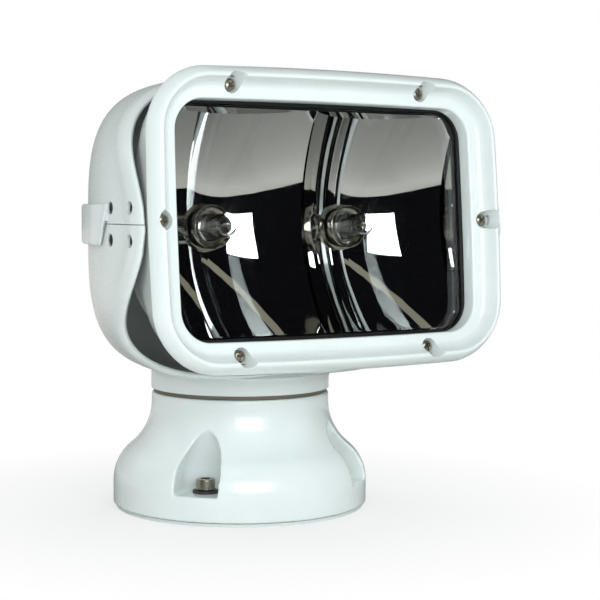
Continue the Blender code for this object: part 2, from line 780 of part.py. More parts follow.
def bucket_solid(name, inset, overrun, finish=None):
    """Closed bucket shape: rows from a small rear cap to the mouth, capped across the mouth."""
    shape = bmesh.new()
    angles = [2.0 * math.pi * step / BUCKET_POINTS for step in range(BUCKET_POINTS)]
    columns = []
    for angle in angles:
        across, rise = section_point(angle, BUCKET_HALF_WIDTH, BUCKET_HALF_HEIGHT)
        lip = lip_depth(abs(across), rise)
        column = []
        for depth in bucket_depths(lip, inset):
            width, height = bucket_size(depth, inset, rise < 0.0)
            tuck = LIP_TUCK * (1.0 - min(1.0, (depth - lip) / LIP_ROUND)) ** 2
            x, z = section_point(angle, width - tuck, height - tuck)
            column.append((x, depth, BUCKET_CENTRE + z))
        if overrun:
            x, y, z = column[-1]
            column.append((x, y - overrun, z))
        columns.append(column)
    rows = list(zip(*columns))
    loops = [[shape.verts.new(point) for point in row] for row in rows]
    bridge(shape, loops, closed=False)
    shape.faces.new(loops[0])
    middle = [sum(p[axis] for p in rows[-1]) / len(rows[-1]) for axis in range(3)]
    hub = shape.verts.new((0.0, BUCKET_REAR / 2.0 if not overrun else middle[1], BUCKET_CENTRE))
    edge = loops[-1]
    for index in range(len(edge)):
        shape.faces.new((edge[index], edge[(index + 1) % len(edge)], hub))
    return add_object(name, mesh_from(name, shape), finish)


def strap_body():
    """Raised band round the rear: sunk in the cover above the seam, clear of the yoke below it."""
    section = [
        (STRAP_PROUD, STRAP_BOTTOM, 1.0), (STRAP_PROUD, STRAP_TOP, 0.0), (-WALL / 2, STRAP_TOP, 0.0),
        (-WALL / 2, COVER_SEAM + 4 * GAP, 0.0), (STRAP_GAP, COVER_SEAM + 4 * GAP, 0.0),
        (STRAP_GAP, STRAP_BOTTOM, 1.0),
    ]
    depths = [STRAP_START, -0.0450, -0.0300] + [BUCKET_REAR - back for back in reversed(REAR_ROWS)]
    path = []
    for depth in depths:
        width, _ = bucket_size(depth, 0.0)
        path.append((width, depth))
    path = path + [(-width, depth) for width, depth in reversed(path)]
    shape = bmesh.new()
    loops = []
    for index, (x, y) in enumerate(path):
        before = path[max(0, index - 1)]
        after = path[min(len(path) - 1, index + 1)]
        along = Vector((after[0] - before[0], after[1] - before[1])).normalized()
        outward = Vector((along.y, -along.x))
        end = index in (0, len(path) - 1)
        loop = []
        for offset, height, lean in section:
            slide = STRAP_SLANT * lean if end else 0.0
            loop.append(shape.verts.new((x + outward.x * offset, y + outward.y * offset + slide, height)))
        loops.append(loop)
    bridge(shape, loops, closed=False)
    shape.faces.new(loops[0])
    shape.faces.new(loops[-1])
    return add_object("strap_band", mesh_from("strap_band", shape), None)


def side_screw_places():
    """Side, depth and height of each of the eight side screws."""
    index = 0
    for side in (-1, 1):
        for up in (1, -1):
            for back in (-1, 1):
                index += 1
                y = TILT_AXIS_Y + back * SIDE_SCREW_SPREAD_Y
                yield index, side, y, COVER_SEAM + up * SIDE_SCREW_SPREAD_Z


def surface_width(y):
    return bucket_size(y, 0.0)[0]


def sideways(x, y, z):
    """Matrix that lays a piece along X at a place."""
    return Matrix.Translation((x, y, z)) @ Matrix.Rotation(math.pi / 2.0, 4, "Y")


def build_yoke():
    """Lower bucket with neck, upper cover with strap, side screws, pivot plates."""
    floor_low = yoke_floor_underside()
    inner = bucket_solid("bucket_cavity", WALL, 0.04)
    seats = []
    for side, word in ((-1, "left"), (1, "right")):
        seat = cylinder(
            f"plate_seat_{word}", PIVOT_PLATE_RADIUS + 2 * GAP, 0.008,
            sideways(side * (PAD_FACE - 0.004), TILT_AXIS_Y, COVER_SEAM), sides=28,
        )
        seats.append(seat)
    upper_holes, lower_holes = [], []
    for index, side, y, z in side_screw_places():
        place = sideways(side * surface_width(y), y, z)
        recess = cylinder(f"side_recess_{index}", SIDE_RECESS_RADIUS, 2 * SIDE_RECESS_DEPTH, place, sides=16)
        hole = cylinder(f"side_hole_{index}", SIDE_SCREW_RADIUS + GAP, 0.04, place, sides=12)
        half = upper_holes if z > COVER_SEAM else lower_holes
        half.extend((recess, hole))

    yoke = bucket_solid("yoke", 0.0, 0.0, WHITE)
    neck_low = BASE_HEIGHT + SEAM_GAP
    neck = cylinder(
        "neck", NECK_RADIUS, NECK_TOP - neck_low, Matrix.Translation((0, 0, (NECK_TOP + neck_low) / 2)), sides=64
    )
    join(yoke, neck)
    cup_top = floor_low
    cup = cylinder(
        "neck_cup", NECK_RADIUS - NECK_WALL, cup_top - neck_low + CUT,
        Matrix.Translation((0, 0, (cup_top + neck_low - CUT) / 2)), sides=48,
    )
    shaft_hole = cylinder(
        "yoke_shaft_hole", SHAFT_RADIUS + GAP, 0.04, Matrix.Translation((0, 0, floor_low)), sides=32
    )
    flange_seat = cylinder(
        "flange_seat", SHAFT_FLANGE_RADIUS + 0.001, 0.020,
        Matrix.Translation((0, 0, floor_low + WALL + 0.010)), sides=48,
    )
    bracket_seat = block(
        "bracket_seat", (BRACKET_FOOT_START - 2 * GAP, PINION_Y - BRACKET_HALF_WIDTH - 2 * GAP, floor_low + WALL),
        (BRACKET_FOOT_START + BRACKET_TOE + 2 * GAP, PINION_Y + BRACKET_HALF_WIDTH + 2 * GAP, floor_low + 0.020),
    )
    far = 3.0 * BUCKET_HALF_WIDTH
    above = block("above_seam", (-far, -far, COVER_SEAM - GAP / 2), (far, far, COVER_SEAM + far))
    below = block("below_seam", (-far, -far, COVER_SEAM - far), (far, far, COVER_SEAM + GAP / 2))
    cut(yoke, inner, cup, shaft_hole, flange_seat, bracket_seat, *seats, above, *lower_holes)

    cover = bucket_solid("rear_cover", 0.0, 0.0, WHITE)
    cut(cover, inner, *seats, below)
    join(cover, strap_body())
    cut(cover, *upper_holes)

    for index, side, y, z in side_screw_places():
        seat = side * (surface_width(y) - SIDE_RECESS_DEPTH + GAP)
        inner_end = side * (PAD_FACE - GAP - PIVOT_PLATE_THICKNESS + 2 * GAP)
        head_out = seat + side * 0.0010
        head = cylinder(
            f"side_screw_{index}", SIDE_SCREW_HEAD, 0.0010, sideways((seat + head_out) / 2, y, z), STEEL, sides=16
        )
        shank = cylinder(
            f"side_shank_{index}", SIDE_SCREW_RADIUS, abs(head_out - inner_end) - 0.0005,
            sideways((inner_end + head_out - side * 0.0005) / 2, y, z), sides=10,
        )
        join(head, shank)

    build_pivots()


def build_pivots():
    """Plate and pin inside each ear, and the bush of each side of the head."""
    plate_out = PAD_FACE - GAP
    plate_in = plate_out - PIVOT_PLATE_THICKNESS
    for side, word in ((-1, "left"), (1, "right")):
        plate = cylinder(
            f"pivot_plate_{word}", PIVOT_PLATE_RADIUS, PIVOT_PLATE_THICKNESS,
            sideways(side * (plate_in + plate_out) / 2, TILT_AXIS_Y, COVER_SEAM), STEEL, sides=28,
        )
        pin = cylinder(
            f"pivot_pin_{word}", PIVOT_PIN_RADIUS, plate_in - PIVOT_PIN_END + 0.001,
            sideways(side * (plate_in + 0.001 + PIVOT_PIN_END) / 2, TILT_AXIS_Y, TILT_AXIS_Z), sides=20,
        )
        join(plate, pin)
        for index, hole_side, y, z in side_screw_places():
            if hole_side == side:
                cut(plate, bpy.data.objects[f"side_hole_{index}"])


def build_tilt_drive(head):
    """Sector on the back of the head; pinion, motor and bracket in the yoke."""
    spacing = 2.0 * math.pi / SECTOR_TEETH
    first = -int((SECTOR_HALF_ANGLE + REST_TILT) / spacing)
    last = int((SECTOR_HALF_ANGLE - REST_TILT) / spacing)
    teeth = gear_outline(SECTOR_TEETH, REST_TILT, first, last - first + 1)
    root = gear_radii(SECTOR_TEETH)[0]
    inner = root - 0.006
    foot_front = HOUSING_CAP + GAP
    outline = teeth + [
        polar(inner, REST_TILT + (last + 0.5) * spacing), (foot_front, SECTOR_FOOT * 0.8),
        (foot_front, -SECTOR_FOOT * 0.8), polar(inner, REST_TILT + (first - 0.5) * spacing),
    ]
    to_side = Matrix.Rotation(math.pi / 2.0, 4, "Z") @ Matrix.Rotation(math.pi / 2.0, 4, "X")
    sector = flat_part("tilt_sector", [outline], SECTOR_THICKNESS, ALUMINIUM, head)
    sector.matrix_local = to_side
    foot = block(
        "sector_foot", (-SECTOR_FOOT, foot_front, -SECTOR_FOOT),
        (SECTOR_FOOT, foot_front + SECTOR_FOOT_THICKNESS, SECTOR_FOOT), None, head,
    )
    join(sector, foot)

    centre = (PINION_Y, TILT_AXIS_Z)
    pinion = flat_part(
        "tilt_pinion", [gear_outline(PINION_TEETH, math.pi + math.pi / PINION_TEETH)], GEAR_THICKNESS, NYLON
    )
    pinion.matrix_world = Matrix.Translation((0.0, *centre)) @ to_side
    motor_face = BRACKET_OFFSET + BRACKET_THICKNESS + GAP
    stub = cylinder(
        "tilt_pinion_stub", PINION_SHAFT_RADIUS, motor_face - GAP - GEAR_THICKNESS / 2 + 0.001,
        sideways((motor_face - GAP + GEAR_THICKNESS / 2 - 0.001) / 2, *centre), sides=16,
    )
    join(pinion, stub)

    motor = turned(
        "tilt_motor",
        [
            (0.0, TILT_MOTOR_LENGTH), (TILT_MOTOR_RADIUS - 0.001, TILT_MOTOR_LENGTH),
            (TILT_MOTOR_RADIUS, TILT_MOTOR_LENGTH - 0.001), (TILT_MOTOR_RADIUS, 0.0), (0.0, 0.0),
        ],
        STEEL, steps=32,
    )
    motor.matrix_world = sideways(motor_face, *centre)

    floor = yoke_floor_underside() + WALL + GAP
    top = TILT_AXIS_Z + TILT_MOTOR_RADIUS
    bracket = block(
        "tilt_bracket",
        (BRACKET_OFFSET, centre[0] - BRACKET_HALF_WIDTH, floor + 0.004 + SHAFT_FLANGE_THICKNESS),
        (BRACKET_OFFSET + BRACKET_THICKNESS, centre[0] + BRACKET_HALF_WIDTH, top), ALUMINIUM,
    )
    hole = cylinder("bracket_hole", PINION_SHAFT_RADIUS + 0.001, 0.02, sideways(motor_face, *centre), sides=24)
    leg = block(
        "bracket_leg",
        (BRACKET_OFFSET, centre[0] - BRACKET_HALF_WIDTH, floor + 0.004 + SHAFT_FLANGE_THICKNESS),
        (BRACKET_FOOT_START + 0.002, centre[0] + BRACKET_HALF_WIDTH, floor + 0.0065 + SHAFT_FLANGE_THICKNESS),
    )
    stand = block(
        "bracket_stand", (BRACKET_FOOT_START, centre[0] - BRACKET_HALF_WIDTH + 0.0001, floor + 0.001),
        (BRACKET_FOOT_START + 0.003, centre[0] + BRACKET_HALF_WIDTH - 0.0001, floor + 0.007 + SHAFT_FLANGE_THICKNESS),
    )
    toe = block(
        "bracket_toe", (BRACKET_FOOT_START, centre[0] - BRACKET_HALF_WIDTH, floor),
        (BRACKET_FOOT_START + BRACKET_TOE, centre[0] + BRACKET_HALF_WIDTH, floor + 0.003),
    )
    join(bracket, leg, stand, toe)
    cut(bracket, hole)


def housing_size(ahead):
    """Half width and half height of the lamp housing at a distance ahead of the tilt axis."""
    mouth = BEZEL_BACK - GAP
    straight = max(ahead, HOUSING_STRAIGHT_END)
    width = BEZEL_HALF_WIDTH - GAP - (mouth - straight) * HOUSING_DRAFT
    height = BEZEL_HALF_HEIGHT - 2 * GAP - (mouth - straight) * HOUSING_HEIGHT_DRAFT
    if ahead < HOUSING_STRAIGHT_END:
        share = (HOUSING_STRAIGHT_END - ahead) / (HOUSING_STRAIGHT_END + HOUSING_REAR)
        scale = (1.0 - share**HOUSING_POWER) ** (1.0 / HOUSING_POWER)
        return width * scale, height * scale
    return width, height


def housing_corner(ahead):
    """Corner radius of the lamp housing, larger towards the rear to clear the bucket."""
    for (front, near), (back, far) in zip(HOUSING_CORNERS, HOUSING_CORNERS[1:]):
        if ahead >= back:
            return near + (far - near) * (front - ahead) / (front - back)
    return HOUSING_CORNERS[-1][1]


def outline_loop(shape, half_width, half_height, corner, ahead, bow=0.0):
    """Loop of vertices across the lamp axis."""
    points = rounded_outline(half_width, half_height, corner, bow)
    return [shape.verts.new((u, -ahead, v)) for u, v in points]


def build_housing(head):
    """Rear shell of the head with its ledge, screw posts and pivot bosses."""
    shape = bmesh.new()
    mouth = BEZEL_BACK - GAP
    steps = [mouth + 0.0012, 0.005, -0.001, HOUSING_STRAIGHT_END, -0.021, -0.028, -0.034, -0.039, -HOUSING_CAP]
    loops = []
    for ahead in steps:
        width, height = housing_size(ahead)
        corner = housing_corner(ahead) * min(1.0, height / housing_size(HOUSING_STRAIGHT_END)[1])
        loops.append(outline_loop(shape, width, height, corner, ahead, BEZEL_BOW * width / BEZEL_HALF_WIDTH))
    bridge(shape, loops, closed=False)
    shape.faces.new(loops[-1])
    housing = add_object("lamp_housing", mesh_from("lamp_housing", shape), WHITE, head)
    skin = housing.modifiers.new("wall", "SOLIDIFY")
    skin.thickness = HOUSING_WALL
    skin.offset = -1.0
    skin.use_even_offset = True
    reach = 2.0 * BEZEL_HALF_WIDTH
    cut(housing, block("mouth_trim", (-reach, -reach, -reach), (reach, -mouth, reach), None, head))

    width, height = housing_size(LEDGE_FRONT)
    sunk = HOUSING_WALL / 2.0
    ledge = flat_part(
        "reflector_ledge",
        [
            rounded_outline(
                width - sunk - 0.0006, height - sunk - 0.0006, housing_corner(LEDGE_BACK) - sunk, BEZEL_BOW / 4.0
            ),
            rounded_outline(
                REFLECTOR_HALF_WIDTH + REFLECTOR_SKIN + 3 * GAP, REFLECTOR_HALF_HEIGHT + REFLECTOR_SKIN + 3 * GAP,
                REFLECTOR_CORNER + REFLECTOR_SKIN,
            ),
        ],
        LEDGE_FRONT - LEDGE_BACK, None, head,
    )
    ledge.matrix_local = to_front((LEDGE_FRONT + LEDGE_BACK) / 2.0)
    join(housing, ledge)

    post_front = BEZEL_BOSS_BACK - GAP
    for index, x, z in bezel_screw_places():
        middle = (post_front + LEDGE_BACK + 0.001) / 2.0
        place = Matrix.Translation((x, 0.0, z)) @ to_front(middle)
        post = cylinder(
            f"screw_post_{index}", SCREW_POST_RADIUS, post_front - LEDGE_BACK, place, None, head, 12
        )
        join(housing, post)
        relief_place = Matrix.Translation((x, 0.0, z)) @ to_front(post_front + 0.005)
        relief = cylinder(
            f"boss_relief_{index}", BEZEL_BOSS_RADIUS + GAP, 0.010, relief_place, None, head, 16
        )
        cut(housing, relief)

    boss_out = PAD_FACE - GAP - PIVOT_PLATE_THICKNESS - GAP - PIVOT_BUSH_FLANGE - GAP
    boss_in = PIVOT_PIN_END - GAP
    for side, word in ((-1, "left"), (1, "right")):
        boss = cylinder(
            f"pivot_boss_{word}", PIVOT_BOSS_RADIUS, boss_out - boss_in,
            sideways(side * (boss_out + boss_in) / 2, 0.0, 0.0), None, head, 24,
        )
        join(housing, boss)
        bore = cylinder(
            f"pivot_bore_{word}", PIVOT_BUSH_RADIUS + GAP, 0.030,
            sideways(side * boss_out, 0.0, 0.0), None, head, 20,
        )
        cut(housing, bore)
        flange_in, flange_out = boss_out + GAP, boss_out + GAP + PIVOT_BUSH_FLANGE
        bush = turned(
            f"pivot_bush_{word}",
            [
                (PIVOT_BUSH_FLANGE_RADIUS, flange_out), (PIVOT_BUSH_FLANGE_RADIUS, flange_in),
                (PIVOT_BUSH_RADIUS, flange_in), (PIVOT_BUSH_RADIUS, boss_in),
                (PIVOT_PIN_RADIUS + GAP, boss_in), (PIVOT_PIN_RADIUS + GAP, flange_out),
            ],
            BRONZE, head, steps=20, closed=True,
        )
        bush.matrix_local = Matrix.Rotation(side * math.pi / 2.0, 4, "Y")
    for index, x, z in bezel_screw_places():
        place = Matrix.Translation((x, 0.0, z)) @ to_front(post_front)
        hole = cylinder(
            f"post_hole_{index}", BEZEL_SHANK_RADIUS + GAP, 0.014, place, None, head, 12
        )
        cut(housing, hole)


def bezel_screw_places():
    """Index, x and z of the six bezel screws."""
    places = [(-BEZEL_SCREW_X, BEZEL_SCREW_Z), (BEZEL_SCREW_X, BEZEL_SCREW_Z)]
    places += [(-BEZEL_SIDE_SCREW_X, 0.0), (BEZEL_SIDE_SCREW_X, 0.0)]
    places += [(-BEZEL_SCREW_X, -BEZEL_SCREW_Z), (BEZEL_SCREW_X, -BEZEL_SCREW_Z)]
    for index, (x, z) in enumerate(places):
        yield index + 1, x, z


def bezel_rings():
    """Half sizes, corner, bow and distance ahead of each loop round the bezel's section."""
    rings = []
    for inset, ahead in BEZEL_OUTER_SIDE + BEZEL_RIDGE + BEZEL_COVE + BEZEL_EDGE:
        rings.append(bezel_ring(inset, ahead))
    rings.append(bezel_ring(BEZEL_FACE, LIP_END))
    rings.append(bezel_ring(BEZEL_FACE - LIP_WALL, LIP_END))
    rings.append(bezel_ring(BEZEL_FACE - LIP_WALL, LEDGE_UNDERSIDE))
    rings.append(bezel_ring(SKIRT, LEDGE_UNDERSIDE))
    rings.append(bezel_ring(SKIRT, BEZEL_BACK))
    return rings


def bezel_ring(inset, ahead):
    """Loop at an inset from the outer edge, blending from the outer outline to the window's."""
    share = inset / BEZEL_FACE
    corner = BEZEL_CORNER + (WINDOW_CORNER - BEZEL_CORNER) * share
    bow = BEZEL_BOW + (WINDOW_BOW - BEZEL_BOW) * share
    return BEZEL_HALF_WIDTH - inset, BEZEL_HALF_HEIGHT - inset, corner, bow, ahead


def build_bezel(head):
    """Front frame, lofted from its outline to the window's, with six open counterbores."""
    shape = bmesh.new()
    loops = [
        outline_loop(shape, width, height, corner, ahead, bow)
        for width, height, corner, bow, ahead in bezel_rings()
    ]
    bridge(shape, loops, closed=True)
    bezel = add_object("bezel", mesh_from("bezel", shape), WHITE, head, smooth=50.0)
    for index, x, z in bezel_screw_places():
        middle = (BEZEL_BOSS_BACK + LEDGE_UNDERSIDE + 0.001) / 2.0
        place = Matrix.Translation((x, 0.0, z)) @ to_front(middle)
        boss = cylinder(
            f"bezel_boss_{index}", BEZEL_BOSS_RADIUS, LEDGE_UNDERSIDE + 0.001 - BEZEL_BOSS_BACK, place, None, head, 16
        )
        join(bezel, boss)
    for index, x, z in bezel_screw_places():
        front = BEZEL_CROWN + CUT
        depth = front - BEZEL_SCREW_SEAT
        place = Matrix.Translation((x, 0.0, z)) @ to_front((front + BEZEL_SCREW_SEAT) / 2.0)
        bore = cylinder(
            f"bezel_bore_{index}", BEZEL_BORE_RADIUS, depth, place, None, head, 16,
            BEZEL_BORE_RADIUS + BEZEL_BORE_DRAFT,
        )
        hole = cylinder(
            f"bezel_hole_{index}", BEZEL_SHANK_RADIUS + GAP, 0.01,
            Matrix.Translation((x, 0.0, z)) @ to_front(BEZEL_SCREW_SEAT), None, head, 12,
        )
        cut(bezel, bore, hole)
        add_bezel_screw(index, x, z, head)


def add_bezel_screw(index, x, z, head):
    seat = BEZEL_SCREW_SEAT + GAP
    end = LEDGE_FRONT + 0.006
    top = seat + BEZEL_HEAD_HEIGHT
    screw = turned(
        f"bezel_screw_{index}",
        [
            (0.0, top), (BEZEL_HEAD_RADIUS * 0.6, top - 0.0002), (BEZEL_HEAD_RADIUS, top - 0.0008),
            (BEZEL_HEAD_RADIUS, seat), (BEZEL_SHANK_RADIUS, seat), (BEZEL_SHANK_RADIUS, end), (0.0, end),
        ],
        STEEL, head, steps=10,
    )
    place = Matrix.Translation((x, 0.0, z)) @ to_front()
    screw.matrix_local = place
    for word, turn in (("across", 0.0), ("upright", math.pi / 2.0)):
        slot = block(
            f"cross_{word}_{index}", (-0.0018, -0.0003, top - 0.0010), (0.0018, 0.0003, top + 0.0010), None, head
        )
        slot.matrix_local = place @ Matrix.Rotation(turn + math.pi / 5.0, 4, "Z")
        cut(screw, slot)


def snap_round(x, z, half_width, half_height, corner):
    """Move a point of a rectangle's edge onto its rounded corner."""
    cx, cz = half_width - corner, half_height - corner
    if abs(x) <= cx or abs(z) <= cz:
        return x, z
    lean = Vector((abs(x) - cx, abs(z) - cz)).normalized() * corner
    return math.copysign(cx + lean.x, x), math.copysign(cz + lean.y, z)


def bowl_depth(x, z):
    """Distance ahead of the tilt axis of the double bowl."""
    depth = BOWL_VERTEX + (abs(x) - BOWL_SPACING) ** 2 / BOWL_WIDE + z**2 / BOWL_TALL
    return min(depth, REFLECTOR_RIM - 0.001)


def build_reflector(head):
    """Two dished bowls with flat end walls up to a flange, all one thin skin."""
    columns, rows = 20, 8
    shape = bmesh.new()
    grid = []
    for column in range(columns + 1):
        x = REFLECTOR_HALF_WIDTH * (2.0 * column / columns - 1.0)
        line = []
        for row in range(rows + 1):
            z = REFLECTOR_HALF_HEIGHT * (2.0 * row / rows - 1.0)
            u, v = snap_round(x, z, REFLECTOR_HALF_WIDTH, REFLECTOR_HALF_HEIGHT, REFLECTOR_CORNER)
            line.append(shape.verts.new((u, -bowl_depth(u, v), v)))
        grid.append(line)
    for near, far in zip(grid, grid[1:]):
        for row in range(rows):
            shape.faces.new((near[row], far[row], far[row + 1], near[row + 1]))
    edge = grid[0][:-1] + [line[-1] for line in grid[:-1]]
    edge += list(reversed(grid[-1][1:])) + [line[0] for line in reversed(grid[1:])]
    wall = [shape.verts.new((vert.co.x, -REFLECTOR_RIM, vert.co.z)) for vert in edge]
    width, height = REFLECTOR_HALF_WIDTH + REFLECTOR_FLANGE, REFLECTOR_HALF_HEIGHT + REFLECTOR_FLANGE
    flange = []
    for vert in edge:
        x = vert.co.x * width / REFLECTOR_HALF_WIDTH
        z = vert.co.z * height / REFLECTOR_HALF_HEIGHT
        u, v = snap_round(x, z, width, height, FLANGE_CORNER)
        flange.append(shape.verts.new((u, -REFLECTOR_RIM, v)))
    bridge(shape, [edge, wall, flange], closed=False)
    reflector = add_object("reflector", mesh_from("reflector", shape, sheet=True), CHROME, head, smooth=40.0)
    skin = reflector.modifiers.new("skin", "SOLIDIFY")
    skin.thickness = REFLECTOR_SKIN
    skin.offset = -1.0
    for side, word in ((-1, "left"), (1, "right")):
        place = Matrix.Translation((side * BOWL_SPACING, 0.0, 0.0)) @ to_front(BOWL_VERTEX)
        hole = cylinder(f"collar_hole_{word}", COLLAR_RADIUS + GAP, 0.012, place, None, head, 20)
        cut(reflector, hole)
        add_bulb(side, word, head)


def add_bulb(side, word, head):
    """Collar, capsule bulb and holder on one bowl's axis."""
    place = Matrix.Translation((side * BOWL_SPACING, 0.0, 0.0)) @ to_front()
    cup_back = COLLAR_FRONT - 0.0024
    collar = turned(
        f"bulb_collar_{word}",
        [
            (COLLAR_CUP, COLLAR_FRONT), (COLLAR_CUP, cup_back + 0.0008), (COLLAR_RADIUS, cup_back),
            (COLLAR_RADIUS, COLLAR_BACK), (COLLAR_BORE, COLLAR_BACK), (COLLAR_BORE, cup_back),
            (COLLAR_CUP - 0.0008, COLLAR_FRONT),
        ],
        STEEL, head, steps=20, closed=True,
    )
    collar.matrix_local = place
    dome = arc((0.0, BULB_TIP - BULB_RADIUS), BULB_RADIUS, 90.0, 0.0, 6)
    bulb = turned(
        f"bulb_{word}",
        dome + [(BULB_RADIUS, COLLAR_FRONT), (BULB_BASE_RADIUS, cup_back), (BULB_BASE_RADIUS, COLLAR_BACK),
                (0.0, COLLAR_BACK)],
        GLASS, head, steps=16,
    )
    bulb.matrix_local = place
    back = COLLAR_BACK - GAP
    holder = turned(
        f"bulb_holder_{word}",
        [(0.0, back), (HOLDER_RADIUS, back), (HOLDER_RADIUS, back - HOLDER_LENGTH * 0.6),
         (HOLDER_RADIUS * 0.75, back - HOLDER_LENGTH), (0.0, back - HOLDER_LENGTH)],
        CERAMIC, head, steps=24,
    )
    holder.matrix_local = place


def build_glass(head):
    """Flat front glass and the channel gasket round its edge."""
    width, height = WINDOW_HALF_WIDTH + GLASS_MARGIN, WINDOW_HALF_HEIGHT + GLASS_MARGIN
    glass = flat_part(
        "lens_glass", [rounded_outline(width, height, WINDOW_CORNER)], GLASS_THICKNESS, GLASS, head
    )
    glass.matrix_local = to_front(GLASS_BACK + GLASS_THICKNESS / 2.0)

    shape = bmesh.new()
    outer_w, outer_h = WINDOW_HALF_WIDTH + SEAL_MARGIN, WINDOW_HALF_HEIGHT + SEAL_MARGIN
    lap_w, lap_h = WINDOW_HALF_WIDTH - SEAL_LAP, WINDOW_HALF_HEIGHT - SEAL_LAP
    front, back = LIP_END - GAP, GASKET_BACK
    slot_front = GLASS_BACK + GLASS_THICKNESS + GAP
    slot_back = GLASS_BACK - GAP
    slot_w, slot_h = width + GAP, height + GAP
    section = [
        (outer_w, outer_h, SEAL_CORNER, back), (outer_w, outer_h, SEAL_CORNER, front),
        (lap_w, lap_h, WINDOW_CORNER - SEAL_LAP, front), (lap_w, lap_h, WINDOW_CORNER - SEAL_LAP, slot_front),
        (slot_w, slot_h, WINDOW_CORNER, slot_front), (slot_w, slot_h, WINDOW_CORNER, slot_back),
        (lap_w, lap_h, WINDOW_CORNER - SEAL_LAP, slot_back), (lap_w, lap_h, WINDOW_CORNER - SEAL_LAP, back),
    ]
    loops = [outline_loop(shape, w, h, corner, ahead) for w, h, corner, ahead in section]
    bridge(shape, loops, closed=True)
    add_object("lens_gasket", mesh_from("lens_gasket", shape), RUBBER, head)


def build_head():
    """Everything that tips, hung on an empty at the tilt axis."""
    head = bpy.data.objects.new("tilt_axis", None)
    PARTS.objects.link(head)
    head.location = (0.0, TILT_AXIS_Y, TILT_AXIS_Z)
    head.rotation_euler = (-REST_TILT, 0.0, 0.0)
    build_bezel(head)
    build_housing(head)
    build_reflector(head)
    build_glass(head)
    build_tilt_drive(head)


build_base()
build_pan_drive()
build_yoke()
build_head()
bpy.context.view_layer.update()
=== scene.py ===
"""Dressed scene of the marine searchlight: fine surfaces, finishes, studio and camera.

Lengths are in metres in the frame of the CAD model: origin on the pan axis at the deck face,
+Z up, lamp facing -Y. Head pieces are drawn round the tilt axis and then laid in their rest tilt.
"""

from __future__ import annotations

import logging
import math
from collections.abc import Iterable, Sequence
from dataclasses import dataclass, field
from enum import Enum

import bmesh
import bpy
from mathutils import Matrix, Vector


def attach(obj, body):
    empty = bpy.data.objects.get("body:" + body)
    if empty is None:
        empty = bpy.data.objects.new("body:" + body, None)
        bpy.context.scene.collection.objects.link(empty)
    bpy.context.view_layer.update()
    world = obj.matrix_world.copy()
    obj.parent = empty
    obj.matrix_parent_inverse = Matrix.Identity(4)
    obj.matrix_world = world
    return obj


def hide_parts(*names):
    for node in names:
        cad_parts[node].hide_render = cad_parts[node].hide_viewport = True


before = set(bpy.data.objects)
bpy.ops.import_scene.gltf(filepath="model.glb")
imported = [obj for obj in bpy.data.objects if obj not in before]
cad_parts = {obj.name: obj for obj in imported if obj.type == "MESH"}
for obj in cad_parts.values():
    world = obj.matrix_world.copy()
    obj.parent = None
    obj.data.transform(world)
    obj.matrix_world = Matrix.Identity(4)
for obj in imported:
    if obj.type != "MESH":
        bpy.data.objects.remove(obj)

LOG = logging.getLogger("searchlight")

Point2 = tuple[float, float]
Point3 = tuple[float, float, float]

MM = 0.001
TILT_AXIS = Vector((0.0, -0.0668, 0.1431))
REST_TILT = math.radians(4.5)
HEAD = Matrix.Translation(TILT_AXIS) @ Matrix.Rotation(-REST_TILT, 4, "X")


class Body(str, Enum):
    """Rigid bodies that carry dressed pieces."""

    BASE = "base"
    YOKE = "yoke"
    HEAD = "head"


class Surface(str, Enum):
    """Kinds of node pattern laid over a finish."""

    MOULDED = "moulded"
    RUBBER = "rubber"
    BRUSHED = "brushed"
    MIRROR = "mirror"
    CLEAR = "clear"


@dataclass(frozen=True)
class Finish:
    """Look of one material.

    Attributes:
        name: Material name.
        colour: sRGB hex colour.
        surface: Node pattern.
        roughness: Middle roughness.
        metallic: Metallic share.
        coat: Weight of the clear coat.
        grain_mm: Size of the fine pattern in real millimetres.
        bump_mm: Height of the fine pattern in millimetres.
        soft_edge_mm: Radius of the soft edge that the shader adds.
    """

    name: str
    colour: str
    surface: Surface
    roughness: float
    metallic: float = 0.0
    coat: float = 0.0
    grain_mm: float = 1.0
    bump_mm: float = 0.01
    soft_edge_mm: float = 0.0


# Glossy moulded plastic of the shells: a cool white with broad soft highlights and rounded edges.
WHITE = Finish("moulded_white", "#E2E8E6", Surface.MOULDED, 0.24, coat=0.45, grain_mm=0.9, bump_mm=0.004,
               soft_edge_mm=0.5)
# Black rubber round the glass: near black and dull, so it reads as a thin dark line.
RUBBER = Finish("black_seal_rubber", "#0C0D0E", Surface.RUBBER, 0.55, grain_mm=0.4, bump_mm=0.02)
# Rubber seal under a film of grease and dust: a soft brown grey, and no black line.
SEAL = Finish("greased_seal", "#6E665B", Surface.RUBBER, 0.5, grain_mm=0.4, bump_mm=0.01)
# Pale foam of the base gasket: matt, and hardly told from the white base above it.
PALE_FOAM = Finish("pale_foam_gasket", "#D5DBD9", Surface.RUBBER, 0.7, grain_mm=0.5, bump_mm=0.02)
# Dark nylon of the washers: a warm black with faint, spread highlights.
DARK_PLASTIC = Finish("dark_nylon_washer", "#33312D", Surface.RUBBER, 0.5, grain_mm=0.5, bump_mm=0.01)
# Steel of the small side screws, painted dark for the shade in their recesses: dark, with weak highlights.
SHADE_DARKENED_STEEL = Finish("dulled_screw", "#54504A", Surface.BRUSHED, 0.38, metallic=1.0, grain_mm=0.25)
# Stainless steel of the larger screws: finely brushed, with narrow highlights.
STEEL = Finish("stainless_screw", "#A9A294", Surface.BRUSHED, 0.3, metallic=1.0, grain_mm=0.25, bump_mm=0.01,
               soft_edge_mm=0.15)
# Plated metal of the bulb collars: brighter and smoother than the screws.
COLLAR_METAL = Finish("plated_collar", "#C9C3B6", Surface.BRUSHED, 0.2, metallic=1.0, grain_mm=0.3,
                      bump_mm=0.004)
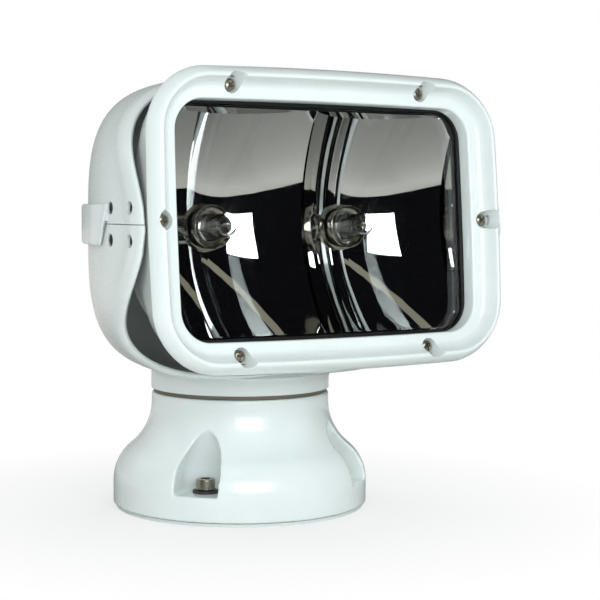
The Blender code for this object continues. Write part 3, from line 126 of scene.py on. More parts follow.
# Vacuum chrome on the moulded reflector: a clear mirror, with the slow waves of the moulding.
CHROME = Finish("vacuum_chrome", "#E9EAE8", Surface.MIRROR, 0.02, metallic=1.0, grain_mm=16.0, bump_mm=0.10)
# Machined aluminium of plate, bracket and sector: grey and evenly brushed.
ALUMINIUM = Finish("machined_aluminium", "#A8ABAD", Surface.BRUSHED, 0.38, metallic=1.0, grain_mm=0.3)
# Sintered bronze of the bushes: brown gold, dulled by its pores.
BRONZE = Finish("sintered_bronze", "#9C7446", Surface.BRUSHED, 0.4, metallic=1.0, grain_mm=0.2)
# Natural nylon of the gears: creamy and half matt.
NYLON = Finish("natural_nylon", "#D8D2C2", Surface.MOULDED, 0.45, grain_mm=0.6)
# Steatite, a ceramic, of the bulb holders: creamy, matt and fine.
CERAMIC = Finish("steatite", "#DAD3C4", Surface.MOULDED, 0.5, grain_mm=0.4)
# Clear glass of the front and the bulbs: seen by its edges and its reflections.
GLASS = Finish("clear_glass", "#FBFDFD", Surface.CLEAR, 0.0)


def linear_rgb(code: str) -> tuple[float, float, float, float]:
    """Turn an sRGB hex code into linear light.

    Args:
        code: Colour such as "#E9EEEE".

    Returns:
        Linear red, green, blue and an alpha of one.
    """
    channels = [int(code[start:start + 2], 16) / 255.0 for start in (1, 3, 5)]
    light = [c / 12.92 if c <= 0.04045 else ((c + 0.055) / 1.055) ** 2.4 for c in channels]
    return light[0], light[1], light[2], 1.0


def add_node(tree: bpy.types.NodeTree, kind: str, **values: object) -> bpy.types.Node:
    """Add a shader node and set its sockets.

    Args:
        tree: Node tree to extend.
        kind: Blender's node type name.
        values: Socket values by name, with spaces written as underscores.

    Returns:
        The new node.
    """
    made = tree.nodes.new(kind)
    for key, value in values.items():
        made.inputs[key.replace("_", " ")].default_value = value
    return made


class MaterialShop:
    """Makes each finish once."""

    def __init__(self) -> None:
        self._made: dict[str, bpy.types.Material] = {}

    def get(self, finish: Finish) -> bpy.types.Material:
        """Return the material of a finish.

        Args:
            finish: The look wanted.

        Returns:
            A node material, shared by all pieces of that finish.
        """
        if finish.name not in self._made:
            self._made[finish.name] = self._build(finish)
        return self._made[finish.name]

    def _build(self, finish: Finish) -> bpy.types.Material:
        made = bpy.data.materials.new(finish.name)
        made.use_nodes = True
        tree = made.node_tree
        shader = tree.nodes["Principled BSDF"]
        colour = linear_rgb(finish.colour)
        shader.inputs["Base Color"].default_value = colour
        shader.inputs["Roughness"].default_value = finish.roughness
        shader.inputs["Metallic"].default_value = finish.metallic
        shader.inputs["Coat Weight"].default_value = finish.coat
        shader.inputs["Coat Roughness"].default_value = 0.06
        made.diffuse_color = colour
        place = tree.nodes.new("ShaderNodeTexCoord")
        if finish.surface is Surface.CLEAR:
            shader.inputs["Transmission Weight"].default_value = 1.0
            shader.inputs["IOR"].default_value = 1.46
            self._smudge(tree, shader, place)
        elif finish.surface is Surface.MIRROR:
            self._mirror(tree, shader, place, finish)
        else:
            self._grain(tree, shader, place, finish, colour)
        return made

    @staticmethod
    def _noise(tree: bpy.types.NodeTree, place: bpy.types.Node, size_mm: float, detail: float,
               stretch: Point3 = (1.0, 1.0, 1.0)) -> bpy.types.Node:
        """Add a noise pattern.

        Args:
            tree: Node tree to extend.
            place: Texture coordinates.
            size_mm: Size of the pattern in real millimetres.
            detail: Octaves of the noise.
            stretch: Scale along each axis, where less than one draws the pattern out.

        Returns:
            The noise node.
        """
        mapping = tree.nodes.new("ShaderNodeMapping")
        mapping.inputs["Scale"].default_value = stretch
        tree.links.new(place.outputs["Object"], mapping.inputs["Vector"])
        scale = 1.0 / (size_mm * MM)
        noise = add_node(tree, "ShaderNodeTexNoise", Scale=scale, Detail=detail, Roughness=0.55)
        tree.links.new(mapping.outputs["Vector"], noise.inputs["Vector"])
        return noise

    @staticmethod
    def _range(tree: bpy.types.NodeTree, source: bpy.types.Node, low: float, high: float) -> bpy.types.Node:
        node = add_node(tree, "ShaderNodeMapRange", From_Min=0.3, From_Max=0.7, To_Min=low, To_Max=high)
        tree.links.new(source.outputs[0], node.inputs["Value"])
        return node

    def _smudge(self, tree: bpy.types.NodeTree, shader: bpy.types.Node, place: bpy.types.Node) -> None:
        film = self._range(tree, self._noise(tree, place, 22.0, 3.0), 0.0, 0.012)
        tree.links.new(film.outputs["Result"], shader.inputs["Roughness"])

    def _mirror(self, tree: bpy.types.NodeTree, shader: bpy.types.Node, place: bpy.types.Node,
                finish: Finish) -> None:
        """Uneven haze over the mirror, and slow waves in its normals."""
        cloud = self._noise(tree, place, 9.0, 4.0)
        haze = self._range(tree, cloud, finish.roughness * 0.5, finish.roughness * 1.8)
        tree.links.new(haze.outputs["Result"], shader.inputs["Roughness"])
        wave = self._noise(tree, place, finish.grain_mm, 1.0, (1.0, 1.0, 0.45))
        bump = add_node(tree, "ShaderNodeBump", Strength=1.0, Distance=finish.bump_mm * MM)
        tree.links.new(wave.outputs[0], bump.inputs["Height"])
        tree.links.new(bump.outputs["Normal"], shader.inputs["Normal"])

    def _grain(self, tree: bpy.types.NodeTree, shader: bpy.types.Node, place: bpy.types.Node, finish: Finish,
               colour: Sequence[float]) -> None:
        brushed = finish.surface is Surface.BRUSHED
        stretch = (1.0, 1.0, 0.12) if brushed else (1.0, 1.0, 1.0)
        fine = self._noise(tree, place, finish.grain_mm, 4.0, stretch)
        broad = self._noise(tree, place, 28.0, 2.0)
        spread = 0.35 if brushed else 0.2
        rough = self._range(tree, fine, finish.roughness * (1 - spread), finish.roughness * (1 + spread))
        tree.links.new(rough.outputs["Result"], shader.inputs["Roughness"])
        shade = tree.nodes.new("ShaderNodeMixRGB")
        shade.inputs[1].default_value = [c * 0.95 for c in colour[:3]] + [1.0]
        shade.inputs[2].default_value = colour
        amount = self._range(tree, broad, 0.0, 1.0)
        tree.links.new(amount.outputs["Result"], shade.inputs[0])
        tree.links.new(shade.outputs[0], shader.inputs["Base Color"])
        bump = add_node(tree, "ShaderNodeBump", Strength=1.0, Distance=finish.bump_mm * MM)
        tree.links.new(fine.outputs[0], bump.inputs["Height"])
        if finish.soft_edge_mm:
            edge = add_node(tree, "ShaderNodeBevel", Radius=finish.soft_edge_mm * MM)
            edge.samples = 6
            tree.links.new(edge.outputs["Normal"], bump.inputs["Normal"])
        tree.links.new(bump.outputs["Normal"], shader.inputs["Normal"])


SHOP = MaterialShop()


def arc(centre: Point2, radius: float, start: float, end: float, steps: int) -> list[Point2]:
    """Points along an arc.

    Args:
        centre: Middle of the circle.
        radius: Its radius.
        start: First angle in degrees.
        end: Last angle in degrees.
        steps: Number of spans.

    Returns:
        Points from start to end, both included.
    """
    angles = [math.radians(start + (end - start) * step / steps) for step in range(steps + 1)]
    return [(centre[0] + radius * math.cos(a), centre[1] + radius * math.sin(a)) for a in angles]


def rounded_outline(half_w: float, half_h: float, corner: float, bow: float = 0.0, sides: int = 12,
                    corners: int = 14) -> list[Point2]:
    """Rounded rectangle with slightly bowed sides.

    Args:
        half_w: Half width.
        half_h: Half height.
        corner: Corner radius.
        bow: How far the corners are pulled in against the middles.
        sides: Spans along each side.
        corners: Spans round each corner.

    Returns:
        Points anticlockwise.
    """
    points: list[Point2] = []
    quarters = [(1, 1, 0), (-1, 1, 90), (-1, -1, 180), (1, -1, 270)]
    for index, (sign_u, sign_v, start) in enumerate(quarters):
        middle = (sign_u * (half_w - corner), sign_v * (half_h - corner))
        bend = arc(middle, corner, start, start + 90, corners)
        points.extend(bend)
        next_u, next_v, next_start = quarters[(index + 1) % 4]
        target = arc((next_u * (half_w - corner), next_v * (half_h - corner)), corner, next_start,
                     next_start + 90, 1)[0]
        for step in range(1, sides):
            share = step / sides
            points.append((bend[-1][0] + (target[0] - bend[-1][0]) * share,
                           bend[-1][1] + (target[1] - bend[-1][1]) * share))
    return [(u * (1 - bow / half_w * (v / half_h) ** 2), v * (1 - bow / half_h * (u / half_w) ** 2))
            for u, v in points]


def smooth_run(points: Sequence[Point2], steps: int) -> list[Point2]:
    """Run a smooth curve through points.

    Args:
        points: Points to pass through.
        steps: Spans between neighbours.

    Returns:
        Points on the curve, both ends included.
    """
    padded = [points[0], *points, points[-1]]
    run: list[Point2] = []
    for before, start, end, after in zip(padded, padded[1:], padded[2:], padded[3:]):
        for step in range(steps):
            t = step / steps
            weights = ((-t + 2 * t**2 - t**3) / 2, (2 - 5 * t**2 + 3 * t**3) / 2,
                       (t + 4 * t**2 - 3 * t**3) / 2, (t**3 - t**2) / 2)
            corners_now = (before, start, end, after)
            run.append((sum(w * p[0] for w, p in zip(weights, corners_now)),
                        sum(w * p[1] for w, p in zip(weights, corners_now))))
    return run + [points[-1]]


class Piece:
    """A visual piece under construction, in the CAD frame."""

    def __init__(self, name: str, shape: bmesh.types.BMesh, matrix: Matrix | None = None) -> None:
        """Take a shape as the piece's mesh.

        Args:
            name: Piece name.
            shape: Geometry, freed here.
            matrix: Placement baked into the mesh.
        """
        if matrix is not None:
            bmesh.ops.transform(shape, matrix=matrix, verts=shape.verts)
        bmesh.ops.recalc_face_normals(shape, faces=shape.faces)
        if all(edge.is_manifold for edge in shape.edges) and shape.calc_volume(signed=True) < 0:
            bmesh.ops.reverse_faces(shape, faces=shape.faces)
        mesh = bpy.data.meshes.new(name)
        shape.to_mesh(mesh)
        shape.free()
        self.object = bpy.data.objects.new(name, mesh)
        bpy.context.scene.collection.objects.link(self.object)

    def combine(self, tool: Piece, operation: str) -> Piece:
        """Apply an exact Boolean and drop the tool.

        Args:
            tool: The other piece, removed afterwards.
            operation: UNION or DIFFERENCE.

        Returns:
            This piece.
        """
        change = self.object.modifiers.new("change", "BOOLEAN")
        change.operation = operation
        change.solver = "EXACT"
        change.object = tool.object
        self.settle()
        bpy.data.objects.remove(tool.object, do_unlink=True)
        return self

    def settle(self) -> Piece:
        """Bake all modifiers into the mesh."""
        bpy.context.view_layer.update()
        graph = bpy.context.evaluated_depsgraph_get()
        baked = bpy.data.meshes.new_from_object(self.object.evaluated_get(graph))
        self.object.modifiers.clear()
        self.object.data = baked
        return self

    def soften(self, voxel: float, rounds: int) -> Piece:
        """Remesh evenly and smooth, which gives the soft edges of a moulding.

        Args:
            voxel: Size of the new faces.
            rounds: Smoothing passes.

        Returns:
            This piece.
        """
        remesh = self.object.modifiers.new("remesh", "REMESH")
        remesh.mode = "VOXEL"
        remesh.voxel_size = voxel
        smooth = self.object.modifiers.new("smooth", "SMOOTH")
        smooth.factor = 0.5
        smooth.iterations = rounds
        return self.settle()

    def dress(self, finish: Finish, body: Body, slot: str, replaces: Sequence[str] = (),
              sharp: float = 32.0) -> bpy.types.Object:
        """Give the piece its finish, its body and the CAD nodes it stands for.

        Args:
            finish: Look.
            body: Rigid body that carries it.
            slot: Material slot of the record; not used.
            replaces: CAD nodes hidden behind it.
            sharp: Angle in degrees above which an edge stays sharp.

        Returns:
            The finished object.
        """
        mesh = self.object.data
        mesh.materials.clear()
        mesh.materials.append(SHOP.get(finish))
        mesh.shade_smooth()
        mesh.set_sharp_from_angle(angle=math.radians(sharp))
        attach(self.object, body.value)
        if replaces:
            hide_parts(*replaces)
        return self.object


def bridge(shape: bmesh.types.BMesh, near: Sequence[bmesh.types.BMVert],
           far: Sequence[bmesh.types.BMVert]) -> None:
    """Join two closed rings of equal length with faces.

    Args:
        shape: Geometry to extend.
        near: First ring.
        far: Second ring.
    """
    for index in range(len(near)):
        after = (index + 1) % len(near)
        shape.faces.new((near[index], near[after], far[after], far[index]))


def loft(name: str, loops: Sequence[Sequence[Point3]], closed: bool = False, caps: bool = False,
         matrix: Matrix | None = None) -> Piece:
    """Skin a series of loops of equal length.

    Args:
        name: Piece name.
        loops: Rings of points.
        closed: Joins the last ring to the first.
        caps: Closes both ends.
        matrix: Placement.

    Returns:
        The piece.
    """
    shape = bmesh.new()
    rings = [[shape.verts.new(point) for point in loop] for loop in loops]
    pairs = list(zip(rings, rings[1:]))
    if closed:
        pairs.append((rings[-1], rings[0]))
    for near, far in pairs:
        bridge(shape, near, far)
    if caps:
        shape.faces.new(rings[0])
        shape.faces.new(rings[-1])
    return Piece(name, shape, matrix)


def lathe(name: str, profile: Sequence[Point2], steps: int = 96, closed: bool = False,
          matrix: Matrix | None = None) -> Piece:
    """Turn a profile round Z.

    Args:
        name: Piece name.
        profile: Radius and height points; an open one starts and ends on the axis.
        steps: Spans round the axis.
        closed: Makes a ring.
        matrix: Placement.

    Returns:
        The piece.
    """
    shape = bmesh.new()
    verts = [shape.verts.new((radius, 0.0, height)) for radius, height in profile]
    edges = [shape.edges.new(pair) for pair in zip(verts, verts[1:])]
    if closed:
        edges.append(shape.edges.new((verts[-1], verts[0])))
    bmesh.ops.spin(shape, geom=verts + edges, cent=(0, 0, 0), axis=(0, 0, 1), angle=2 * math.pi, steps=steps,
                   use_merge=True)
    bmesh.ops.remove_doubles(shape, verts=shape.verts, dist=1e-6)
    return Piece(name, shape, matrix)


def rod(name: str, radius: float, length: float, matrix: Matrix, end_radius: float | None = None,
        sides: int = 48) -> Piece:
    """Cylinder or cone centred on a matrix, used to join and cut.

    Args:
        name: Piece name.
        radius: Radius at its low end.
        length: Length along its Z.
        matrix: Placement.
        end_radius: Radius at its high end.
        sides: Facets.

    Returns:
        The piece.
    """
    shape = bmesh.new()
    bmesh.ops.create_cone(shape, cap_ends=True, segments=sides, radius1=radius,
                          radius2=radius if end_radius is None else end_radius, depth=length, matrix=matrix)
    return Piece(name, shape)


def slab(name: str, low: Point3, high: Point3, matrix: Matrix | None = None) -> Piece:
    """Box between two corners, used to cut.

    Args:
        name: Piece name.
        low: Lowest corner.
        high: Highest corner.
        matrix: Placement.

    Returns:
        The piece.
    """
    shape = bmesh.new()
    size = Vector(high) - Vector(low)
    place = Matrix.Translation((Vector(high) + Vector(low)) / 2) @ Matrix.Diagonal((*size, 1.0))
    bmesh.ops.create_cube(shape, size=1.0, matrix=place)
    return Piece(name, shape, matrix)


def ahead(distance: float = 0.0) -> Matrix:
    """Lay a piece turned round Z along the lamp axis.

    Args:
        distance: Distance ahead of the tilt axis.

    Returns:
        Matrix in the head's own frame.
    """
    return Matrix.Translation((0.0, -distance, 0.0)) @ Matrix.Rotation(math.pi / 2, 4, "X")


def cut_cross(screw: Piece, place: Matrix, turn: float, half: Point2, span: Point2) -> None:
    """Cut a cross recess in a screw's head.

    Args:
        screw: Screw to cut.
        place: Placement of the screw.
        turn: Turn of the cross in radians.
        half: Half the length and half the width of an arm.
        span: Lowest and highest reach along the screw's axis.
    """
    low, high = (-half[0], -half[1], span[0]), (half[0], half[1], span[1])
    for quarter in (0.0, math.pi / 2):
        spin = place @ Matrix.Rotation(quarter + turn, 4, "Z")
        screw.combine(slab("cross", low, high, spin), "DIFFERENCE")


@dataclass
class DeckBase:
    """Flared base with its four screw pockets, screws, washers and neck seal."""

    rim_radius: float = 0.0640
    rim_height: float = 0.0130
    shoulder: float = 0.0227
    waist: float = 0.0447
    fillet: float = 0.0290
    height: float = 0.0577
    underside: float = 0.0018
    screw_circle: float = 0.0490
    turn: float = math.radians(-4.0)
    pocket_floor: float = 0.0137
    pocket_half: float = 0.0112
    pocket_shoulder: float = 0.0240
    pocket_apex: float = 0.0475

    def build(self) -> None:
        """Make all pieces of the base."""
        housing = lathe("base_shell", self._profile(), 160)
        for place in self._places():
            housing.combine(self._pocket(place), "DIFFERENCE")
            housing.combine(rod("hole", 0.0033, 0.06, place, sides=32), "DIFFERENCE")
        housing.soften(0.0007, 7)
        housing.dress(WHITE, Body.BASE, "white_plastic", ["base_housing"], sharp=180.0)
        for index, place in enumerate(self._places(), start=1):
            self._screw(index, place)
        self._seals()

    def _places(self) -> Iterable[Matrix]:
        for index in range(4):
            angle = self.turn - math.pi / 4 + index * math.pi / 2
            yield Matrix.Rotation(angle, 4, "Z") @ Matrix.Translation((self.screw_circle, 0.0, 0.0))

    def _profile(self) -> list[Point2]:
        """Outer side from the axis at the top to the axis underneath."""
        shoulder = (self.rim_radius - self.shoulder, self.rim_height)
        waist_u = self.waist + self.fillet
        rise = math.sqrt((self.shoulder + self.fillet) ** 2 - (waist_u - shoulder[0]) ** 2)
        slope = math.degrees(math.atan2(rise, waist_u - shoulder[0]))
        points = [(0.0, self.height), (self.waist - 0.0005, self.height), (self.waist, self.height - 0.0005)]
        points += arc((waist_u, shoulder[1] + rise), self.fillet, 180.0, 180.0 + slope, 24)
        points += arc(shoulder, self.shoulder, slope, 0.0, 24)[1:]
        return points + [(self.rim_radius, self.underside), (0.0, self.underside)]

    def _pocket(self, place: Matrix) -> Piece:
        """Pointed arch, round behind the screw and open through the flank."""
        span = self.pocket_apex - self.pocket_shoulder
        levels = [(self.pocket_floor, self.pocket_half), (self.pocket_shoulder, self.pocket_half)]
        for step in range(1, 21):
            share = step / 20
            half = max(0.0002, self.pocket_half * (1 - share ** 1.5))
            levels.append((self.pocket_shoulder + span * share, half))
        loops = []
        reach = self.rim_radius + 0.008 - self.screw_circle
        for height, half in levels:
            back = arc((0.0, 0.0), half, 90.0, 270.0, 32)
            loops.append([(u, v, height) for u, v in back + [(reach, -half), (reach, half)]])
        return loft("pocket", loops, caps=True, matrix=place)

    def _screw(self, index: int, place: Matrix) -> None:
        """Socket head cap screw and its washer."""
        seat, top, head, shank = 0.0153, 0.0205, 0.0046, 0.0030
        edge = arc((head - 0.0007, top - 0.0007), 0.0007, 90.0, 0.0, 6)
        profile = [(0.0, top)] + edge + [(head, seat + 0.0003), (head - 0.0003, seat), (shank, seat),
                                         (shank, 0.0003), (0.0, 0.0003)]
        screw = lathe(f"deck_screw_fine_{index}", profile, 64, matrix=place)
        socket = rod("socket", 0.0026, 0.0056, place @ Matrix.Translation((0, 0, top)), sides=6)
        screw.combine(socket, "DIFFERENCE")
        screw.dress(STEEL, Body.BASE, "stainless_steel", [f"deck_screw_{index}"])
        low, high, outer, inner = 0.0140, 0.0150, 0.0062, 0.0034
        ring = [(outer - 0.0002, high), (outer, high - 0.0003), (outer, low), (inner, low), (inner, high)]
        lathe(f"deck_washer_fine_{index}", ring, 64, closed=True, matrix=place).dress(
            DARK_PLASTIC, Body.BASE, "black_plastic", [f"deck_washer_{index}"])

    @staticmethod
    def _seals() -> None:
        """Seal ring under the neck."""
        ring = [(0.0437, 0.0594), (0.0437, 0.0580), (0.0377, 0.0580), (0.0377, 0.0594)]
        lathe("neck_seal_fine", ring, 160, closed=True).dress(SEAL, Body.BASE, "black_rubber", ["neck_seal"])


@dataclass
class Bucket:
    """Yoke and rear cover: one rounded bucket split along a level seam, on a neck."""

    half_width: float = 0.0976
    half_height: float = 0.0717
    centre: float = 0.1402
    rear: float = 0.0520
    side_end: float = -0.0582
    top_end: float = -0.0100
    floor_end: float = 0.0060
    plan_power: float = 2.0
    profile_power: float = 2.6
    section_power: float = 3.6
    wall: float = 0.0028
    roll: float = 0.0027
    roll_depth: float = 0.0095
    flare: float = 0.0009
    flare_depth: float = 0.0140
    seam: float = 0.1427
    gap: float = 0.0003
    neck_radius: float = 0.0449
    neck_low: float = 0.0597
    points: int = 184
    rows: list[float] = field(default_factory=lambda: [0.0004 + 0.0676 * (s / 26) ** 1.7 for s in range(27)])

    def build(self) -> None:
        """Make the yoke, the cover with its strap and the side screws."""
        inner = self._solid("bucket_void", self.wall, 0.04)
        yoke = self._solid("yoke_shell", 0.0, 0.0)
        yoke.combine(self._neck(), "UNION")
        yoke.combine(self._copy(inner), "DIFFERENCE")
        self._cut_neck(yoke)
        yoke.combine(slab("above", (-0.2, -0.2, self.seam - self.gap / 2), (0.2, 0.2, 0.4)), "DIFFERENCE")
        cover = self._solid("cover_shell", 0.0, 0.0)
        cover.combine(inner, "DIFFERENCE")
        cover.combine(slab("below", (-0.2, -0.2, -0.2), (0.2, 0.2, self.seam + self.gap / 2)), "DIFFERENCE")
        cover.combine(self._strap(), "UNION")
        for index, (side, y, z) in enumerate(self._screw_places(), start=1):
            target = cover if z > self.seam else yoke
            place = self._sideways(side * self._size(y, 0.0, False)[0], y, z)
            target.combine(rod("recess", 0.0029, 0.0032, place), "DIFFERENCE")
            target.combine(rod("hole", 0.0017, 0.04, place, sides=24), "DIFFERENCE")
            self._side_screw(index, side, y, z)
        for part in (yoke, cover):
            for side in (-1, 1):
                place = self._sideways(side * 0.0908, TILT_AXIS.y, self.seam)
                part.combine(rod("seat", 0.0155, 0.008, place, sides=64), "DIFFERENCE")
        yoke.dress(WHITE, Body.YOKE, "white_plastic", ["yoke"], sharp=38.0)
        cover.dress(WHITE, Body.YOKE, "white_plastic", ["rear_cover"], sharp=38.0)

    @staticmethod
    def _copy(piece: Piece) -> Piece:
        shape = bmesh.new()
        shape.from_mesh(piece.object.data)
        return Piece("copy", shape)

    @staticmethod
    def _sideways(x: float, y: float, z: float) -> Matrix:
        return Matrix.Translation((x, y, z)) @ Matrix.Rotation(math.pi / 2, 4, "Y")

    @staticmethod
    def _ease(share: float) -> float:
        return (1 - math.cos(math.pi * min(1.0, max(0.0, share)))) / 2

    def _lip(self, across: float, height: float) -> float:
        """Depth of the mouth's edge at a point of the section."""
        if height >= 0:
            side = -0.0880 + 0.0280 * self._ease(height / 0.0620)
            return side + 0.0080 * self._ease(2 - 2 * across / self.half_width)
        return -0.0880 + 0.0390 * self._ease(-height / 0.0640)

    def _roll(self, back: float, across: float) -> float:
        """Growth of the outer side near the mouth: it flares a little, then rolls over.

        Args:
            back: Distance behind the mouth's edge.
            across: Share of the half width, which says how far round to the side the place is.

        Returns:
            Metres outwards.
        """
        flare = self.flare * max(0.0, 1 - max(0.0, back - self.roll_depth) / self.flare_depth) ** 2
        flare *= min(1.0, abs(across)) ** 4
        share = 1 - min(1.0, max(0.0, back / self.roll_depth))
        return flare - self.roll * (1 - math.sqrt(1 - (0.985 * share) ** 2))

    def _size(self, y: float, inset: float, below: bool) -> Point2:
        rear = self.rear - inset
        side = max(0.0, (y - self.side_end) / (rear - self.side_end))
        end = self.floor_end if below else self.top_end
        top = max(0.0, (y - end) / (rear - end))
        width = (1 - min(1.0, side) ** self.plan_power) ** (1 / self.plan_power)
        height = (1 - min(1.0, top) ** self.profile_power) ** (1 / self.profile_power)
        return (self.half_width - inset) * width, (self.half_height - inset) * height

    def _section(self, angle: float, width: float, height: float) -> Point2:
        power = 2 / self.section_power
        c, s = math.cos(angle), math.sin(angle)
        return width * math.copysign(abs(c) ** power, c), height * math.copysign(abs(s) ** power, s)

    def _solid(self, name: str, inset: float, overrun: float) -> Piece:
        """Closed bucket, from a small rear cap to the mouth."""
        columns = []
        for step in range(self.points):
            angle = 2 * math.pi * step / self.points
            across, rise = self._section(angle, self.half_width, self.half_height)
            lip = self._lip(abs(across), rise)
            fixed = [self.rear - inset - back for back in self.rows]
            soft = lip + self.roll_depth
            depths = fixed + [fixed[-1] + (soft - fixed[-1]) * s / 16 for s in range(1, 17)]
            depths += [lip + self.roll_depth * (1 - math.sin(math.pi / 2 * s / 14)) for s in range(1, 15)]
            column = []
            for depth in depths:
                width, height = self._size(depth, inset, rise < 0)
                grow = 0.0 if inset else self._roll(depth - lip, across / self.half_width)
                x, z = self._section(angle, width + grow, height + min(0.0, grow))
                column.append((x, depth, self.centre + z))
            if overrun:
                x, y, z = column[-1]
                column.append((x, y - overrun, z))
            columns.append(column)
        loops = list(zip(*columns))
        shape = bmesh.new()
        rings = [[shape.verts.new(p) for p in loop] for loop in loops]
        for near, far in zip(rings, rings[1:]):
            bridge(shape, near, far)
        shape.faces.new(rings[0])
        middle = sum(v.co.y for v in rings[-1]) / len(rings[-1])
        hub = shape.verts.new((0.0, middle if overrun else self.rear / 2, self.centre))
        for index in range(len(rings[-1])):
            shape.faces.new((rings[-1][index], rings[-1][(index + 1) % len(rings[-1])], hub))
        return Piece(name, shape)

    def _surface_height(self, x: float, y: float) -> float:
        """Height of the bucket's underside over a point of the deck."""
        width, height = self._size(y, 0.0, True)
        share = min(1.0, abs(x) / max(width, 1e-6))
        return self.centre - height * (1 - share ** self.section_power) ** (1 / self.section_power)

    def _neck(self) -> Piece:
        """Neck tube that flares where it meets the bucket."""
        flare, probe, ceiling, sink = 0.0050, 0.0030, 0.1050, 0.0003
        columns: list[list[Point3]] = []
        for index in range(128):
            angle = 2 * math.pi * index / 128
            c, s = math.cos(angle), math.sin(angle)

            def meet(radius: float) -> float:
                """Height of the bucket over a place on this side of the neck."""
                return min(self._surface_height(radius * c, radius * s), ceiling)

            slope = (meet(self.neck_radius + probe) - meet(self.neck_radius)) / probe
            spread = flare / (1 + (1.5 * slope) ** 2)
            start = meet(self.neck_radius) - spread
            end_radius = self.neck_radius + spread
            end = meet(end_radius) + sink
            column = [(self.neck_radius, self.neck_low + (start - self.neck_low) * share)
                      for share in (0.0, 0.5, 1.0)]
            for step in range(1, 9):
                bend = math.radians(90.0 * step / 8)
                column.append((self.neck_radius + spread * (1 - math.cos(bend)),
                               start + (end - start) * math.sin(bend)))
            columns.append([(radius * c, radius * s, height) for radius, height in column])
        loops: list[list[Point3]] = [list(loop) for loop in zip(*columns)]
        top = [(x * 0.9, y * 0.9, z + 0.004) for x, y, z in loops[-1]]
        loops.append(top)
        loops.append([(x * 0.3, y * 0.3, 0.0970) for x, y, _ in top])
        return loft("neck", loops, caps=True)

    def _cut_neck(self, yoke: Piece) -> None:
        """Hollow the neck and open the shaft hole."""
        floor = self.centre - self.half_height
        low = self.neck_low - 0.002
        middle = Matrix.Translation((0, 0, (floor + low) / 2))
        cup = rod("cup", self.neck_radius - 0.0035, floor - low, middle, sides=96)
        yoke.combine(cup, "DIFFERENCE")
        yoke.combine(rod("shaft", 0.0093, 0.04, Matrix.Translation((0, 0, floor))), "DIFFERENCE")
        seat = rod("flange_seat", 0.0190, 0.020, Matrix.Translation((0, 0, floor + self.wall + 0.010)))
        yoke.combine(seat, "DIFFERENCE")
        low_corner, high_corner = (0.0194, -0.0104, floor + self.wall), (0.0306, 0.0118, floor + 0.02)
        yoke.combine(slab("bracket_seat", low_corner, high_corner), "DIFFERENCE")

    def _strap(self) -> Piece:
        """Band moulded with the cover, lapping over the lower half."""
        inside, proud, clear = -self.wall / 2, 0.0030, 0.0006
        low, high, joint = 0.1330, 0.1515, self.seam + 4 * self.gap
        r = 0.0014
        section = [(proud - r * (1 - math.sin(a)), low + r * (1 - math.cos(a)), 1.0)
                   for a in (math.radians(18.0 * s) for s in range(6))]
        section += [(proud - r * (1 - math.sin(a)), high - r * (1 - math.cos(a)), 0.0)
                    for a in (math.radians(90.0 - 18.0 * s) for s in range(6))]
        section += [(inside, high, 0.0), (inside, joint, 0.0), (clear, joint, 0.0), (clear, low, 1.0)]
        back = [self.rear - row for row in reversed(self.rows)]
        ends = [-0.0530 + 0.0015 * s for s in range(40)]
        depths = [y for y in ends if y < back[0] - 0.0005] + back
        path = [(self._size(y, 0.0, False)[0], y) for y in depths]
        path += [(-x, y) for x, y in reversed(path)]
        loops = []
        for index, (x, y) in enumerate(path):
            before, after = path[max(0, index - 1)], path[min(len(path) - 1, index + 1)]
            along = Vector((after[0] - before[0], after[1] - before[1])).normalized()
            near = min(index, len(path) - 1 - index)
            slide = 0.0060 * max(0.0, 1 - near / 12)
            thin = 0.28 + 0.72 * self._ease(near / 11)
            loops.append([])
            for offset, height, lean in section:
                over = clear + (offset - clear) * thin if offset > clear else offset
                loops[-1].append((x + along.y * over, y - along.x * over + slide * lean, height))
        return loft("strap", loops, caps=True)

    @staticmethod
    def _screw_places() -> Iterable[Point3]:
        for side in (-1, 1):
            for up in (1, -1):
                for back in (-1, 1):
                    yield side, TILT_AXIS.y + back * 0.01065, 0.1427 + up * 0.0071

    def _side_screw(self, index: int, side: float, y: float, z: float) -> None:
        """Small pan head screw sunk in the side."""
        seat = self._size(y, 0.0, False)[0] - 0.0015
        end = 0.0937
        profile = [(0.0, 0.0010)] + arc((0.0019, 0.0001), 0.0009, 90.0, 0.0, 5) + [
            (0.0028, 0.0), (0.0014, 0.0), (0.0014, end - seat), (0.0, end - seat)]
        place = Matrix.Translation((side * seat, y, z)) @ Matrix.Rotation(side * math.pi / 2, 4, "Y")
        screw = lathe(f"side_screw_fine_{index}", profile, 32, matrix=place)
        cut_cross(screw, place, 0.4 * index, (0.0015, 0.00025), (0.0003, 0.0020))
        # The side screws take the steel painted dark for the shade in their recesses.
        screw.dress(SHADE_DARKENED_STEEL, Body.YOKE, "stainless_steel", [f"side_screw_{index}"])


